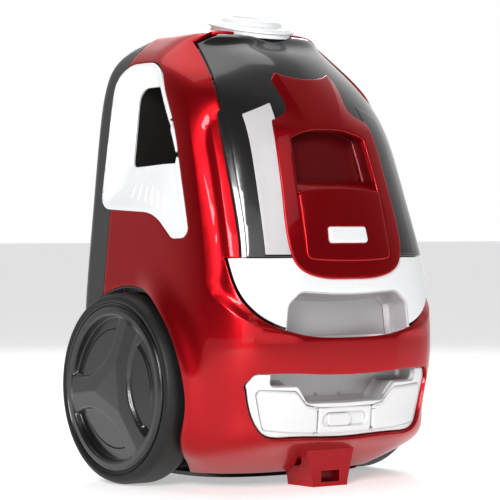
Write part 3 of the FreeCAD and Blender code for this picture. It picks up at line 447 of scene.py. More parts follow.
def pocket(name, loop, lift, roll, back, fillet, body, finish, follow=False):
    """A hollow cut straight back from the skin, with a rolled edge and a rounded floor.

    Its floor is flat at the depth y given by back, or follows the skin at that distance behind it."""
    steps = 5

    def floor_y(flat):
        if follow:
            return skin_place(from_front(flat), lift)[:, 1] + back
        return np.full(len(flat), float(back))
    rings = []
    for k in range(steps + 1):
        a = math.pi / 2 * k / steps
        ring = skin_place(from_front(offset(loop, roll * (1 - math.sin(a)))), lift)
        ring[:, 1] += roll * (1 - math.cos(a))
        rings.append(ring)
    start, deep = rings[-1], floor_y(loop) - fillet
    for k in range(1, 4):
        ring = start.copy()
        ring[:, 1] += (deep - start[:, 1]) * k / 3
        rings.append(ring)
    for k in range(1, steps):
        a = math.pi / 2 * k / steps
        line = offset(loop, -fillet * (1 - math.cos(a)))
        rings.append(np.stack([line[:, 0], deep + fillet * math.sin(a), line[:, 1]], -1))
    n = len(loop)
    points = list(np.concatenate(rings))
    faces = []
    for k in range(len(rings) - 1):
        for j in range(n):
            a, b = k * n + j, k * n + (j + 1) % n
            faces.append([a, b, b + n, a + n])
    edge = offset(loop, -fillet * (1 - math.cos(math.pi / 2 * (steps - 1) / steps)))
    flat, triangles = filled(edge, step=4.0)
    base = len(points)
    y = floor_y(flat)
    points += list(np.stack([flat[:, 0], y, flat[:, 1]], -1))
    faces += [[base + i for i in t] for t in triangles]
    return make(name, points, faces, body, finish)


def lathe(name, profile, origin, axis, body, finish, steps=128, **more):
    """A turned piece from (radius, height) points about an axis."""
    axis = np.asarray(axis, float) / np.linalg.norm(axis)
    one = np.cross(axis, [0.3, 0.9, 0.2])
    one /= np.linalg.norm(one)
    two = np.cross(axis, one)
    points, faces = [], []
    n = len(profile)
    for k in range(steps):
        a = 2 * math.pi * k / steps
        for r, h in profile:
            points.append(np.asarray(origin) + axis * h + (one * math.cos(a) + two * math.sin(a)) * r)
    for k in range(steps):
        for j in range(n - 1):
            a, b = k * n + j, (k + 1) % steps * n + j
            faces.append([a, b, b + 1, a + 1])
    return make(name, points, faces, body, finish, **more)


def bent(corners, steps=6):
    """An open profile from (radius, height, rounding) corners."""
    out = [np.array(corners[0][:2], float)]
    for i in range(1, len(corners) - 1):
        tri = [corners[i - 1], corners[i], corners[i + 1]]
        here = np.array(tri[1][:2], float)
        back, on = np.array(tri[0][:2], float) - here, np.array(tri[2][:2], float) - here
        limit = 0.48 * min(np.linalg.norm(back), np.linalg.norm(on))
        reach = min(tri[1][2], limit)
        a = here + back / np.linalg.norm(back) * reach
        b = here + on / np.linalg.norm(on) * reach
        for k in range(steps + 1):
            t = k / steps
            out.append((1 - t) ** 2 * a + 2 * t * (1 - t) * here + t * t * b)
    out.append(np.array(corners[-1][:2], float))
    return out


# ---------------------------------------------------------------- finishes

def finish(name, base, rough, metal=0.0, coat=0.0, coat_rough=0.05, grain=900.0, bump=0.02, vary=0.06,
           flake=0.0, sheen=0.0, specular=0.5):
    """A moulded, lacquered or metal surface with fine grain, uneven roughness and, if asked, flakes."""
    mat = bpy.data.materials.new(name)
    mat.use_nodes = True
    tree = mat.node_tree
    shader = tree.nodes["Principled BSDF"]
    shader.inputs["Metallic"].default_value = metal
    shader.inputs["Coat Weight"].default_value = coat
    shader.inputs["Coat Roughness"].default_value = coat_rough
    shader.inputs["Sheen Weight"].default_value = sheen
    shader.inputs["Specular IOR Level"].default_value = specular
    where = tree.nodes.new("ShaderNodeTexCoord")
    broad = tree.nodes.new("ShaderNodeTexNoise")
    broad.inputs["Scale"].default_value = 35.0
    broad.inputs["Detail"].default_value = 6.0
    tree.links.new(where.outputs["Object"], broad.inputs["Vector"])
    tone = tree.nodes.new("ShaderNodeMapRange")
    tone.inputs["To Min"].default_value = rough * (1 - vary)
    tone.inputs["To Max"].default_value = rough * (1 + vary)
    tree.links.new(broad.outputs["Fac"], tone.inputs["Value"])
    tree.links.new(tone.outputs["Result"], shader.inputs["Roughness"])
    fine = tree.nodes.new("ShaderNodeTexNoise")
    fine.inputs["Scale"].default_value = grain
    fine.inputs["Detail"].default_value = 3.0
    tree.links.new(where.outputs["Object"], fine.inputs["Vector"])
    mix = tree.nodes.new("ShaderNodeMix")
    mix.data_type = "RGBA"
    mix.inputs["A"].default_value = (*[c * (1 - vary - flake) for c in base], 1)
    mix.inputs["B"].default_value = (*[min(1, c * (1 + vary + flake)) for c in base], 1)
    tree.links.new((fine if flake else broad).outputs["Fac"], mix.inputs["Factor"])
    tree.links.new(mix.outputs["Result"], shader.inputs["Base Color"])
    relief = tree.nodes.new("ShaderNodeBump")
    relief.inputs["Strength"].default_value = bump
    relief.inputs["Distance"].default_value = 0.0004
    tree.links.new(fine.outputs["Fac"], relief.inputs["Height"])
    tree.links.new(relief.outputs["Normal"], shader.inputs["Normal"])
    return mat


RED = finish("candy_red_lacquer", (0.42, 0.0025, 0.007), 0.30, metal=0.85, coat=0.35, coat_rough=0.02,
             grain=2600, bump=0.01, flake=0.10, specular=0.2)
BLACK = finish("satin_black_moulding", (0.030, 0.030, 0.029), 0.38, grain=1600, bump=0.10)
TUNNEL = finish("gloss_black_lining", (0.016, 0.015, 0.014), 0.22, coat=0.4)
# Darker copy of the shell's red lacquer for the walls of the hand hollow: painted shade inside the hollow.
RED_PAINTED_SHADE = finish("red_with_painted_shade_in_hand_hollow", (0.13, 0.003, 0.005), 0.42, metal=0.5, coat=0.2, grain=2600,
                bump=0.01, flake=0.08, specular=0.2)
SMOKED = finish("smoked_black_bin", (0.010, 0.010, 0.010), 0.16, coat=0.6, coat_rough=0.04)
SILVER = finish("silver_pearl_paint", (0.86, 0.87, 0.88), 0.32, metal=0.15, coat=0.6, coat_rough=0.06,
                grain=2200, flake=0.02)
PEARL = finish("pale_pearl_paint", (0.76, 0.76, 0.77), 0.34, metal=0.20, coat=0.5, coat_rough=0.08,
               grain=2200, flake=0.02)
# Darker copy of the silver pearl for the tail recess and the panel pocket: painted shade in these hollows.
SILVER_PAINTED_SHADE = finish("silver_pearl_in_shade", (0.52, 0.50, 0.51), 0.36, metal=0.45, coat=0.4, coat_rough=0.08,
              grain=2200, flake=0.02)
WINDOW_GREY = finish("grey_window", (0.52, 0.50, 0.51), 0.22, coat=0.5, grain=300)
RUBBER = finish("tyre_rubber", (0.007, 0.007, 0.007), 0.50, grain=1300, bump=0.25, specular=0.35)
HUB = finish("gloss_black_hub", (0.007, 0.007, 0.007), 0.28, coat=0.35, coat_rough=0.05)
STEEL = finish("zinc_steel", (0.62, 0.62, 0.63), 0.30, metal=1.0, grain=700, bump=0.05)
MOTOR = finish("motor_metal", (0.45, 0.46, 0.48), 0.40, metal=0.9, grain=500, bump=0.05)
GREY = finish("grey_moulding", (0.30, 0.30, 0.31), 0.45, grain=1200, bump=0.10)
SOFT = finish("soft_black_rubber", (0.03, 0.03, 0.03), 0.70, grain=1500, bump=0.20)
FOAM = finish("filter_foam", (0.72, 0.72, 0.69), 0.90, grain=420, bump=0.9, sheen=0.3)
BOARD = finish("circuit_board", (0.04, 0.20, 0.09), 0.40, grain=260, bump=0.30)

BY_SLOT = {"red_shell": RED, "black_plastic": BLACK, "grey_plastic": GREY,
           "silver_plastic": SILVER, "smoked_plastic": SMOKED, "clear_plastic": WINDOW_GREY,
           "tyre_rubber": RUBBER, "hub_plastic": HUB, "steel": STEEL,
           "motor_metal": MOTOR, "soft_rubber": SOFT, "filter_foam": FOAM,
           "board": BOARD}


def dress_cad():
    """Every CAD node takes its slot's finish; the linings of the openings take the gloss black."""
    slots = {row["node"]: row["material_slot"] for row in frame["record"]["subparts"]}
    for name, thing in frame["nodes"].items():
        thing.data.materials.clear()
        thing.data.materials.append(BY_SLOT[slots[name]])
    for name in ("grip_tunnel", "wheel_well_left", "wheel_well_right"):
        frame["nodes"][name].data.materials[0] = TUNNEL


# ---------------------------------------------------------------- casing

# Crease lines of the shell as (x, y, z): round the bin, and down the flank beside it.
BAND_LINE = [(0, -122, 133), (-53, -121, 134), (-57, -121, 135.2), (-97, -111, 145), (-109, -102, 153),
             (-122, -80, 170), (-124, -73, 180), (-118, -57, 241), (-114, -44, 281), (-110, -31, 317),
             (-106, -20, 345)]
FACET_LINE = [(-112, -90, 203), (-105, -64, 281), (-102, -48, 321), (-99, -36, 345)]
# Right halves of outlines seen from the front as (x, z), and the side frame as (y, z, radius).
TAIL = [(0, 135.5), (33, 136.5), (65, 142), (95, 156), (107, 171), (112, 190), (113, 204.6)]
CUP = [(101, 204.6), (98, 235), (96, 270), (94, 303), (89, 339), (81, 367), (74, 388), (71, 398.5)]
CUP_TOP = (51, 408)
PANEL = [(0, 42.5), (60, 45), (86, 49.5), (93, 58), (100, 75), (104.5, 95)]
SIDE_FRAME = [(90, 248, 12), (85, 380, 24), (24, 381, 34), (-12, 320, 200), (-46, 222, 11), (-24, 221, 9),
              (6, 244, 60)]


def tail_side(grow):
    """Right half of the lower edge of the tail cover, grown by an amount."""
    return belly([(x + (grow if x else 0), z - (grow if i < 5 else 0)) for i, (x, z) in enumerate(TAIL)])


def aperture():
    """Opening of the shell for the dust bin."""
    low = tail_side(1.4)
    low = low[low[:, 1] < 205]
    notch = [(114.6, 205.6), (102.4, 205.6)]
    side = through([(x + 0.9, z) for x, z in CUP[1:]])
    return whole(np.concatenate([low, notch, side, [(CUP_TOP[0] + 0.6, CUP_TOP[1] + 0.8)]]))


def panel_loop(grow):
    """Outline of the control panel, grown by an amount."""
    low = belly(PANEL)
    top = rounded([(104, 88, 0), (104.6, 94, 4), (98.5, 103.6, 7), (80, 104, 0)])[1:-1]
    across = through([(57, 103), (30, 101.4), (0, 100.6)])
    loop = whole(np.concatenate([low[low[:, 1] < 90], top, across]))
    return offset(loop, grow)


def shell_lift(p):
    """Height of the shell over the plain skin: creases by the bin, the band's corner, the wheel flare."""
    half = np.stack([-np.abs(p[:, 0]), p[:, 1]], -1)
    at = skin_point(p[:, 0], p[:, 1])
    z = at[:, 2]
    d1, s1 = distance(half, flat_band)
    d2, s2 = distance(half, flat_facet)
    slope = 0.36 + 0.20 * (1 - ease((z - 150) / 45))
    fade = 1 - ease((z - 300) / 55)
    inner = ramp(-d1 * s1, 0.7)
    h = -np.minimum(slope * fade * inner, 4.2 + 1.3 * ease((z - 170) / 40))
    h -= np.minimum(0.22 * (1 - ease((z - 300) / 50)) * ramp(-d2 * s2, 0.6), 2.4) * ease((z - 198) / 6)
    corner = ramp(np.abs(at[:, 0]) - 55, 0.8)
    h -= 0.10 * corner * np.clip(1 - corner / 45, 0, 1) * ease((z - 88) / 14) * (1 - ease((z - 133) / 5))
    r = np.hypot(at[:, 1] - AXLE[0], z - AXLE[1])
    flare = 9.0 * np.exp(-((r - ARCH) / 13.0) ** 2) * ease((30 - at[:, 1]) / 60) * ease((z - 14) / 40)
    return h + flare * (np.abs(p[:, 0]) > 60)


flat_band = spaced(flat_of(BAND_LINE), 3.0, False)
flat_facet = spaced(flat_of(FACET_LINE), 3.0, False)


def arch_radius(angle):
    """Wheel arch of the shell: wide over the wheel, closer to the tyre low down."""
    return ARCH + 0.8 - 3.8 * float(ease(-1.6 * math.sin(angle)))


def shell():
    """Red upper shell in one sheet, open for the bin, the panel, the frames, the wheels and the inlet."""
    roll = 0.8
    low, high = level(12.3), run[-1] - 0.2
    v = np.linspace(low, high, 220)
    seam = np.stack([HALF + SEAM - roll - waist_at(v), v], -1)
    outer = np.concatenate([seam, mirror(seam)[::-1]])
    holes = [from_front(offset(aperture(), roll)), from_front(panel_loop(roll + 0.3))]
    for sign in (-1.0, 1.0):
        edge = spaced(offset(rounded(SIDE_FRAME), roll + 0.4), 3.0)
        holes.append(from_side(edge, sign))
        ring = [(AXLE[0] + arch_radius(a) * math.cos(a), AXLE[1] + arch_radius(a) * math.sin(a))
                for a in np.linspace(0, 2 * math.pi, 160, endpoint=False)]
        holes.append(from_side(np.array(ring), sign))
    lines = []
    for line in (flat_band, flat_facet):
        for shift in (-0.8, 0.0, 0.8):
            moved = offset_line(line, shift)
            lines += [moved, mirror(moved)]

    def drop(p):
        return (np.hypot(p[:, 0], p[:, 1] - MOUTH[1]) < MOUTH_HOLE) & (p[:, 2] >= 400)
    skin_sheet("shell", outer, holes, lines, shell_lift, rolled(roll, 3.2), "main_body", RED, drop=drop,
               replaces=("upper_shell",), slot="red_shell")


def offset_line(line, amount):
    on = np.gradient(line, axis=0)
    on /= np.linalg.norm(on, axis=1, keepdims=True)
    return line + np.stack([-on[:, 1], on[:, 0]], 1) * amount


# ---------------------------------------------------------------- dust bin

COVER = [(0, 185), (36, 187.0), (57, 197), (64, 222), (62, 255), (58, 300), (54, 330), (49, 352)]


def lift_of(piece):
    """The same height over the skin everywhere, by the name of the piece."""
    return lambda p: np.full(len(p), LIFT[piece])


def tail_cover():
    """Silver cover at the foot of the bin, with its recess."""
    low = tail_side(0.0)
    loop = whole(np.concatenate([low[low[:, 1] < 203.5], [(113, 204.4)]]))
    loop = offset(loop, -1.0)
    recess = whole(np.concatenate([rounded([(80, 120, 0), (70.5, 128, 0), (66.5, 163, 9), (54, 173.4, 10),
                                            (20, 171.2, 0), (0, 170.8, 0)])[1:-1], [(0, 170.8)]]))
    skin_sheet("tail_cover", from_front(loop), [from_front(offset(recess, 2.2))], [], lift_of("tail_cover"),
               rolled(1.0, 6.0), "dust_bin", SILVER, replaces=("bin_tail_cover",), slot="silver_plastic")
    # The recess takes the darker silver, painted shade.
    pocket("tail_recess", spaced(recess, 3.0), LIFT["tail_cover"], 2.2, RECESS_FLOOR, 9.0, "dust_bin", SILVER_PAINTED_SHADE)


PANE = [(86, 207.2, 1), (62, 207.2, 1), (49, 342, 1), (77.5, 331, 2)]


def cup():
    """Front of the smoked cup, and the strip of window on each side; only the left one is pale."""
    side = through(CUP)
    loop = whole(np.concatenate([[(0, 205.2), (101, 205.2)], side[1:], [CUP_TOP]]))
    gap = from_front(spaced(offset(grip_loop(), 4.0), 3.0))
    skin_sheet("bin_body", from_front(spaced(offset(loop, -0.8), 3.0)), [gap], [], lift_of("cup"),
               rolled(0.8, 6.0), "dust_bin", SMOKED)
    for side_name, sign in (("left", -1.0), ("right", 1.0)):
        pane = rounded([(x * sign, z, r) for x, z, r in PANE])
        skin_sheet("window_" + side_name, from_front(spaced(offset(pane, -0.4), 3.0)), [], [],
                   lift_of("window"), rolled(0.4, 1.0), "dust_bin", WINDOW_GREY if sign < 0 else SMOKED,
                   replaces=("bin_window_" + side_name,), slot="clear_plastic")


CREASE = [(-29, 369), (-27, 352), (-23.5, 336), (-20, 324), (-17, 314)]


def cover_lift(p):
    """Height of the red cover over the skin: it dips outside the crease near its top."""
    at = skin_point(p[:, 0], p[:, 1])
    half = np.stack([-np.abs(p[:, 0]), p[:, 1]], -1)
    d, s = distance(half, flat_crease)
    fade = ease((at[:, 2] - 316) / 30)
    return LIFT["front_cover"] - 0.17 * fade * ramp(-d * s, 0.6)


flat_crease = spaced(from_front(CREASE), 3.0, False)


def front_cover():
    """Red cover of the bin, with the hand hollow, the flap and the release button."""
    low = belly(COVER)
    horn = rounded([(52, 338, 0), (49.6, 352.5, 4.5), (30.5, 369.6, 1.6), (14, 365, 0)])[1:-1]
    dip = through([(24, 367.4), (14, 365), (0, 364)])
    loop = whole(np.concatenate([low[low[:, 1] < 345], horn, dip]))
    grip = grip_loop()
    pad = flap_loop()
    lines = [flat_crease, mirror(flat_crease)]
    for shift in (-0.6, 0.6):
        moved = offset_line(flat_crease, shift)
        lines += [moved, mirror(moved)]
    skin_sheet("front_cover", from_front(spaced(offset(loop, -1.2), 2.5)),
               [from_front(offset(grip, 1.2)), from_front(offset(pad, 0.9))], lines, cover_lift,
               rolled(1.2, 4.2), "dust_bin", RED, step=2.5, replaces=("bin_front_cover",), slot="red_shell")
    # The hollow's walls take the darker red, painted shade.
    pocket("hand_hollow", spaced(grip, 2.5), LIFT["hand_hollow"], 1.2, 17.0, 3.0, "dust_bin", RED_PAINTED_SHADE,
           follow=True)
    ledge()
    seat = rounded([(-22.6, 215.8, 3), (22.6, 215.8, 3), (21.4, 231.4, 3), (-21.4, 231.4, 3)])
    skin_sheet("flap", from_front(spaced(offset(pad, -1.3), 2.5)),
               [from_front(spaced(offset(seat, 0.5), 2.5))], [], lift_of("flap"), rolled(1.3, 3.0),
               "dust_bin", RED, step=2.5, replaces=("bin_flap",), slot="red_shell")
    button = rounded([(-22, 216.4, 3.4), (22, 216.4, 3.4), (20.8, 230.8, 2.6), (-20.8, 230.8, 2.6)])
    skin_sheet("button", from_front(spaced(offset(button, -1.7), 2.0)), [], [], lift_of("button"),
               rolled(1.7, 6.0), "release_button", SILVER, step=2.0, replaces=("bin_button",),
               slot="silver_plastic")


def ledge():
    """The sill behind the flap: it rises as it runs back into the hand hollow."""
    across, along = np.linspace(-1, 1, 41), np.linspace(0, 1, 7)
    points = []
    for t in along:
        front = skin_place(from_front([(45.0 * (1 - 0.02 * t) * a, 263.2) for a in across]), LIFT["ledge"])
        front[:, 1] += 13.0 * t + 3.0 * t * (1 - np.abs(across) ** 4)
        front[:, 2] += 9.0 * math.sin(t * math.pi / 2)
        points.append(front)
    n = len(across)
    faces = [[k * n + j, k * n + j + 1, (k + 1) * n + j + 1, (k + 1) * n + j]
             for k in range(len(along) - 1) for j in range(n - 1)]
    make("hollow_ledge", np.concatenate(points), faces, "dust_bin", RED)


def grip_loop():
    """Outline of the hand hollow."""
    side = rounded([(0, 263, 0), (45.6, 262.5, 0), (41.5, 309.5, 2.5), (20, 315, 0)])[1:-1]
    dome = through([(38, 311.0), (22, 315.8), (0, 317.4)])
    return whole(np.concatenate([[(0, 263.4)], side, dome[1:]]))


def flap_loop():
    """Outline of the flap."""
    top = through([(43, 262.6), (22, 264.6), (0, 265.4)])
    side = rounded([(20, 200.8, 0), (47.6, 202.6, 6), (46, 262.2, 1.2), (30, 264, 0)])[1:-1]
    low = through([(0, 200.4), (20, 200.8), (40, 201.8)])
    return whole(np.concatenate([low, side, top[1:]]))


# ---------------------------------------------------------------- control panel

PEDAL = [(31, 48, 1.5), (60, 50, 30), (87, 53.8, 5), (96.4, 89.6, 5), (57, 87.4, 5), (53, 84.2, 5),
         (44, 75, 4), (31, 72, 1)]
POCKET = [(83, 112, 0), (83, 92.4, 4), (55, 92.2, 5), (43, 77, 6), (0, 76.4, 0)]


def control_panel():
    """Silver panel low on the front: its pocket, two foot pedals and the suction slider."""
    frame_loop = panel_loop(-0.5 - 1.0)
    beds = rounded([(0, 46.6, 0), (30, 47.2, 0), (60, 49.2, 30), (87.6, 53.0, 5), (97.4, 90.4, 5),
                    (56.6, 88.3, 5), (52.4, 85.2, 5), (43.5, 76.0, 4), (31, 73.0, 1), (0, 72.4, 0)])
    beds = whole(np.concatenate([[(0, 46.6)], beds[(beds[:, 0] > 0.5)], [(0, 72.4)]]))
    gap = rounded(POCKET + [(-40, 100, 0)])[:-1]
    gap = whole(np.concatenate([gap[gap[:, 0] > 0.5], [(0, 76.4)]])[::-1])
    skin_sheet("panel", from_front(spaced(frame_loop, 3.0)),
               [from_front(spaced(beds, 3.0)), from_front(spaced(offset(gap, 1.4), 3.0))], [],
               lift_of("panel"), rolled(1.0, 5.0), "main_body", PEARL, replaces=("panel_frame",),
               slot="silver_plastic")
    # The pocket takes the darker silver, painted shade.
    pocket("panel_pocket", spaced(gap, 3.0), LIFT["panel"], 1.4, PANEL_FLOOR, 6.0, "main_body", SILVER_PAINTED_SHADE)
    for name, body, sign in (("rewind", "rewind_pedal", -1.0), ("power", "power_pedal", 1.0)):
        loop = rounded([(x * sign, z, r) for x, z, r in PEDAL])
        skin_sheet(name + "_foot_pedal", from_front(spaced(offset(loop, -2.6), 3.0)), [], [],
                   lift_of("pedal"), rolled(2.1, 8.0), body, PEARL, replaces=(body,), slot="silver_plastic")
    slot_ends = [(19 + 6.4 * math.sin(a), 61 - 6.4 * math.cos(a)) for a in np.linspace(0, math.pi, 13)]
    slot = whole(np.array(slot_ends))
    plate = rounded([(-29.8, 48, 1), (29.8, 48, 1), (29.8, 71.6, 1.5), (-29.8, 71.6, 1.5)])
    skin_sheet("slider_bed", from_front(spaced(offset(plate, -1.0), 2.5)),
               [from_front(spaced(offset(slot, 0.8), 2.5))], [], lift_of("slider_bed"), rolled(1.0, 4.0),
               "main_body", PEARL, step=2.5, replaces=("slider_plate",), slot="silver_plastic")
    floor = rounded([(-26, 52, 6), (26, 52, 6), (26, 70, 6), (-26, 70, 6)])
    skin_sheet("slider_floor", from_front(spaced(floor, 2.5)), [], [], lift_of("slider_floor"),
               [(0.0, 0.5)], "main_body", PEARL)
    knob = rounded([(-20.4, 55.4, 5), (6.4, 55.4, 5), (6.4, 66.6, 5), (-20.4, 66.6, 5)])
    skin_sheet("knob", from_front(spaced(offset(knob, -1.4), 2.0)), [], [], lift_of("knob"),
               rolled(1.4, 8.0), "suction_knob", PEARL, step=2.0, replaces=("slider_knob",),
               slot="silver_plastic")


# ---------------------------------------------------------------- icons

def ring(x, z, radius, steps=40, start=0.0, end=360.0):
    angles = np.radians(np.linspace(start, end, steps + 1))
    return np.stack([x + radius * np.sin(angles), z + radius * np.cos(angles)], -1)


def icons():
    """Plain raised signs on the pedals: a cord plug on one and an on-off sign on the other."""
    def sign(name, body, points, closed=False):
        bead(name, from_front(points), 0.45, 0.35, LIFT["sign"], body, PEARL, closed=closed)
    for name, body, x, z in (("rewind", "rewind_pedal", -64.0, 69.0), ("power", "power_pedal", 66.0, 70.5)):
        sign(name + "_ring", body, ring(x, z, 8.2)[:-1], True)
    for k, x in enumerate((-66.5, -61.5)):
        sign("plug_bar_%d" % k, "rewind_pedal", through([(x, 65.0), (x, 73.5)]))
    sign("power_arc", "power_pedal", ring(66.0, 69.8, 4.2, 24, 40, 320))
    sign("power_bar", "power_pedal", through([(66.0, 70.5), (66.0, 75.5)]))


# ---------------------------------------------------------------- carry opening

SIDE_HOLE = [(69, 285, 7), (69, 358.5, 13), (26, 358.5, 16), (-8, 318, 60), (-25, 287, 6)]


def scoop(p):
    """How far the silver frame is sunk below the skin, from its rim to the edge of the opening."""
    out, _ = distance(p, frame_outer, True)
    into, _ = distance(p, frame_hole, True)
    out = np.where(inside(p, frame_outer), out, 0.0)
    into = np.where(inside(p, frame_hole), 0.0, into)
    deep = 1.0 + 14.5 * ease((p[:, 0] + 12.0) / 80.0)
    share = np.clip((out - 3.2) / np.maximum(out - 3.2 + into, 1e-6), 0, 1)
    rim = 1.4 * np.clip(1 - out / 4.5, 0, 1) ** 0.5
    return deep * share ** 0.85 - rim


frame_outer = spaced(offset(rounded(SIDE_FRAME), -0.6), 2.5)
frame_hole = spaced(rounded(SIDE_HOLE), 2.5)


def side_frame(name, sign):
    """Silver frame round the carry opening, sunk towards its hole, with six ribs on its sill."""
    def place(p):
        points = skin_place(from_side(p, sign), LIFT["side_frame"])
        points[:, 0] -= sign * scoop(p)
        return points
    flat, faces = filled(frame_outer, [frame_hole], [], 2.2)
    edge = [(0.3, 0.1), (0.6, 0.4), (0.8, 1.0), (0.8, 3.0)]
    sheet("frame_" + name, flat, faces, place, edge, "main_body", SILVER, flip=sign < 0,
          replaces=("side_frame_" + name,), slot="silver_plastic")
    for k, (y, z) in enumerate([(50, 266), (38, 263.5), (26, 261.5), (15, 259), (4, 255), (-7, 250.5)]):
        rib(name + "_rib_%d" % k, place, y, z, sign)


def rib(name, place, y, z, sign):
    """A leaf-shaped raised rib on the sill of the frame."""
    long, wide, high = 9.0, 2.0, 1.3
    rows = 17
    section = np.linspace(-1, 1, 7)
    flat, height = [], []
    for t in np.linspace(-1, 1, rows):
        half = wide * max(0.03, (1 - t * t) ** 0.8)
        for a in section:
            flat.append((y + a * half + 1.2 * t, z + long * t))
            height.append(high * (1 - a * a) * (1 - t * t) ** 0.6 - 0.1)
    points = place(np.array(flat))
    points[:, 0] += sign * np.array(height)
    n = len(section)
    faces = [[k * n + j, k * n + j + 1, (k + 1) * n + j + 1, (k + 1) * n + j][::int(sign)]
             for k in range(rows - 1) for j in range(n - 1)]
    make(name, points, faces, "main_body", SILVER)


def tunnel():
    """Black lining from one carry opening to the other, flush with the sunk edges."""
    edge = offset(frame_hole, 0.5)
    rings = []
    for t in np.linspace(-1, 1, 9):
        x = (np.abs(skin_place(from_side(edge, 1.0), 0)[:, 0]) - scoop(offset(frame_hole, 0.9)) - 1.2) * t
        rings.append(np.stack([x, edge[:, 0], edge[:, 1]], -1))
    n = len(edge)
    faces = [[k * n + j, k * n + (j + 1) % n, (k + 1) * n + (j + 1) % n, (k + 1) * n + j]
             for k in range(8) for j in range(n)]
    make("tunnel", np.concatenate(rings), faces, "main_body", TUNNEL, replaces=("grip_tunnel",),
         slot="black_plastic")


# ---------------------------------------------------------------- wheels

POCKETS = (7.0, 127.0, 247.0)           # directions of the cap's three hollows, in degrees
LENS_CENTRE, LENS_RADIUS = 85.4, 60.4   # the arc that bounds each hollow on its inner side
CAP_FACE = 150.6                        # how far out the flat top of the cap stands
CAP_RIM = 147.6                         # and its rim


def cap_height(r, angle):
    """Face of the wheel cap: a three-armed pyramid with a flat top and three lens-shaped hollows."""
    face = np.full_like(r, -1e9)
    depth = np.zeros_like(r)
    for middle in POCKETS:
        a = r * np.cos(angle - math.radians(middle))
        b = r * np.sin(angle - math.radians(middle))
        face = np.maximum(face, a)
        arc = LENS_RADIUS - np.hypot(a - LENS_CENTRE, b)
        lens = np.minimum(arc, 66.0 - r)
        step = np.minimum(arc, 55.0 - r)
        depth += 4.6 * ease(lens / 2.4) - 1.6 * ease((step - 1.0) / 1.2)
    cone = CAP_FACE - 0.115 * ramp(face - 12.5, 0.8)
    rim = CAP_RIM - 1.1 * ease((r - 71.0) / 1.6)
    joined = cone + (rim - cone) * ease((r - 63.5) / 4.0)
    groove = 2.2 * np.exp(-((r - 74.6) / 0.9) ** 2)
    return joined - depth - groove


def wheels():
    """Cap and tyre of each wheel."""
    for name, sign in (("left", -1.0), ("right", 1.0)):
        body = name + "_wheel"
        radii = np.concatenate([np.linspace(0.01, 62, 66), np.linspace(62.4, 76.4, 36)])
        turns = np.linspace(0, 2 * math.pi, 240, endpoint=False)
        r, angle = [g.ravel() for g in np.meshgrid(radii, turns, indexing="ij")]
        x = sign * cap_height(r, angle)
        points = np.stack([x, AXLE[0] - r * np.cos(angle), AXLE[1] + r * np.sin(angle)], -1)
        n = len(turns)
        faces = [[k * n + j, k * n + (j + 1) % n, (k + 1) * n + (j + 1) % n, (k + 1) * n + j][::int(sign)]
                 for k in range(len(radii) - 1) for j in range(n)]
        make("cap_" + name, points, faces, body, HUB, replaces=("hub_cap_" + name,), slot="hub_plastic")
        tyre = bent([(76.6, 112, 0), (76.6, 145.8, 1.2), (79.5, 147.2, 1.6), (83.2, 146.0, 2.6),
                     (85.9, 140.0, 4.0), (86.0, 114.0, 3.0), (82.0, 106.6, 2.0), (76.6, 106.4, 0)])
        lathe("rubber_" + name, tyre, (0, AXLE[0], AXLE[1]), (sign, 0, 0), body, RUBBER, steps=180,
              replaces=("tyre_" + name,), slot="tyre_rubber")


# ---------------------------------------------------------------- hose inlet

def collar():
    """Pale port on the roof: a wide dished flange with a raised ring round the bore."""
    axis = (0, -math.sin(MOUTH_LEAN), math.cos(MOUTH_LEAN))
    profile = bent([(19.2, -19.0, 0), (19.2, 6.6, 0.8), (21.0, 8.3, 0.8), (24.5, 8.0, 1.0),
                    (27.0, 6.6, 1.4), (28.6, 3.0, 1.0), (31.0, 2.2, 1.0), (36.0, 2.3, 1.0),
                    (38.2, 0.9, 1.0), (40.0, 0.2, 0.6), (39.8, -1.6, 0.6), (37.4, -2.4, 0.4),
                    (37.2, -6.0, 0)])
    lathe("inlet_port", profile, MOUTH, axis, "main_body", SILVER, steps=160,
          replaces=("hose_inlet_collar",), slot="silver_plastic")


# ---------------------------------------------------------------- build

dress_cad()
shell()
tail_cover()
cup()
front_cover()
control_panel()
icons()
for side, sign in (("left", -1.0), ("right", 1.0)):
    side_frame(side, sign)
tunnel()
wheels()
collar()


# ---------------------------------------------------------------- light, floor and camera

def area(name, place, aim, width, height, power):
    """A white rectangular lamp turned towards a point."""
    lamp = bpy.data.lights.new(name, "AREA")
    lamp.shape = "RECTANGLE"
    lamp.size, lamp.size_y = width, height
    lamp.energy = power
    thing = bpy.data.objects.new(name, lamp)
    bpy.context.scene.collection.objects.link(thing)
    thing.location = place
    way = Vector(aim) - Vector(place)
    thing.rotation_mode = "QUATERNION"
    thing.rotation_quaternion = way.to_track_quat("-Z", "Y")


AHEAD = (0.609, 0.793, 0.0)     # the way that the room gets lighter: from the front left to the back
ROOM_DIM, ROOM_LIGHT = 0.06, 1.0
FLOOR_REACH = 30.0              # half the floor's width, in metres
FLOOR_GLOW = 0.42               # the same all over the floor; it lights the object too
# name, place, point it faces (metres), width, height, power (watts)
LAMPS = [("key", (-1.45, -1.25, 0.95), (0, 0, 0.2), 0.45, 0.9, 32),
         ("front", (-0.92, -1.75, 0.75), (0, 0, 0.2), 1.3, 1.4, 8),
         ("upper", (0.35, -1.6, 1.35), (0, 0, 0.3), 0.9, 0.6, 1.8),
         ("back", (1.1, 1.6, 1.3), (0, 0, 0.2), 0.9, 0.9, 16),
         ("top", (0.1, 0.5, 1.7), (0, 0, 0.2), 1.2, 0.9, 5)]
LENS_MM, SENSOR_MM = 178.2, 36.0
CAMERA_AT = (-1.3995, -1.7967, 0.2298)
CAMERA_FACES = (0.6091, 0.7930, -0.0088)


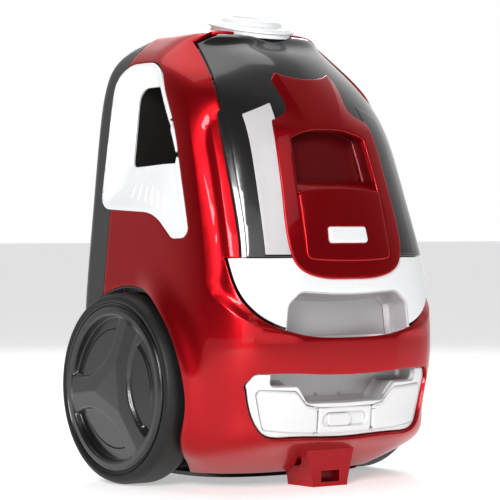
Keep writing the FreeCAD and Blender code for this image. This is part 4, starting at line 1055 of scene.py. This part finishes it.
def studio():
    """A plain pale floor in a soft room that is lighter behind the object, and five soft lights."""
    world = bpy.data.worlds.new("studio")
    bpy.context.scene.world = world
    world.use_nodes = True
    tree = world.node_tree
    where = tree.nodes.new("ShaderNodeTexCoord")
    dot = tree.nodes.new("ShaderNodeVectorMath")
    dot.operation = "DOT_PRODUCT"
    dot.inputs[1].default_value = AHEAD
    tree.links.new(where.outputs["Generated"], dot.inputs[0])
    bright = tree.nodes.new("ShaderNodeMapRange")
    bright.inputs["From Min"].default_value = -0.2
    bright.inputs["From Max"].default_value = 1.0
    bright.inputs["To Min"].default_value = ROOM_DIM
    bright.inputs["To Max"].default_value = ROOM_LIGHT
    tree.links.new(dot.outputs["Value"], bright.inputs["Value"])
    tree.links.new(bright.outputs["Result"], tree.nodes["Background"].inputs["Strength"])
    tree.nodes["Background"].inputs["Color"].default_value = (1, 1, 1, 1)
    mesh = bpy.data.meshes.new("floor")
    wide = FLOOR_REACH
    mesh.from_pydata([(-wide, -wide, 0), (wide, -wide, 0), (wide, wide, 0), (-wide, wide, 0)], [],
                     [(0, 1, 2, 3)])
    pale = finish("floor", (0.86, 0.86, 0.86), 0.7)
    shine = pale.node_tree.nodes["Principled BSDF"]
    shine.inputs["Emission Color"].default_value = (1, 1, 1, 1)
    shine.inputs["Emission Strength"].default_value = FLOOR_GLOW
    mesh.materials.append(pale)
    floor = bpy.data.objects.new("floor", mesh)
    bpy.context.scene.collection.objects.link(floor)
    for lamp in LAMPS:
        area(*lamp)


def camera():
    """A long lens level with the object's middle, off its left front corner."""
    data = bpy.data.cameras.new("camera")
    data.lens = LENS_MM
    data.sensor_width = SENSOR_MM
    data.clip_start, data.clip_end = 0.05, 100.0
    thing = bpy.data.objects.new("camera", data)
    bpy.context.scene.collection.objects.link(thing)
    thing.location = CAMERA_AT
    thing.rotation_mode = "QUATERNION"
    thing.rotation_quaternion = Vector(CAMERA_FACES).to_track_quat("-Z", "Y")
    bpy.context.scene.camera = thing


studio()
camera()
bpy.context.scene.view_settings.view_transform = "Standard"
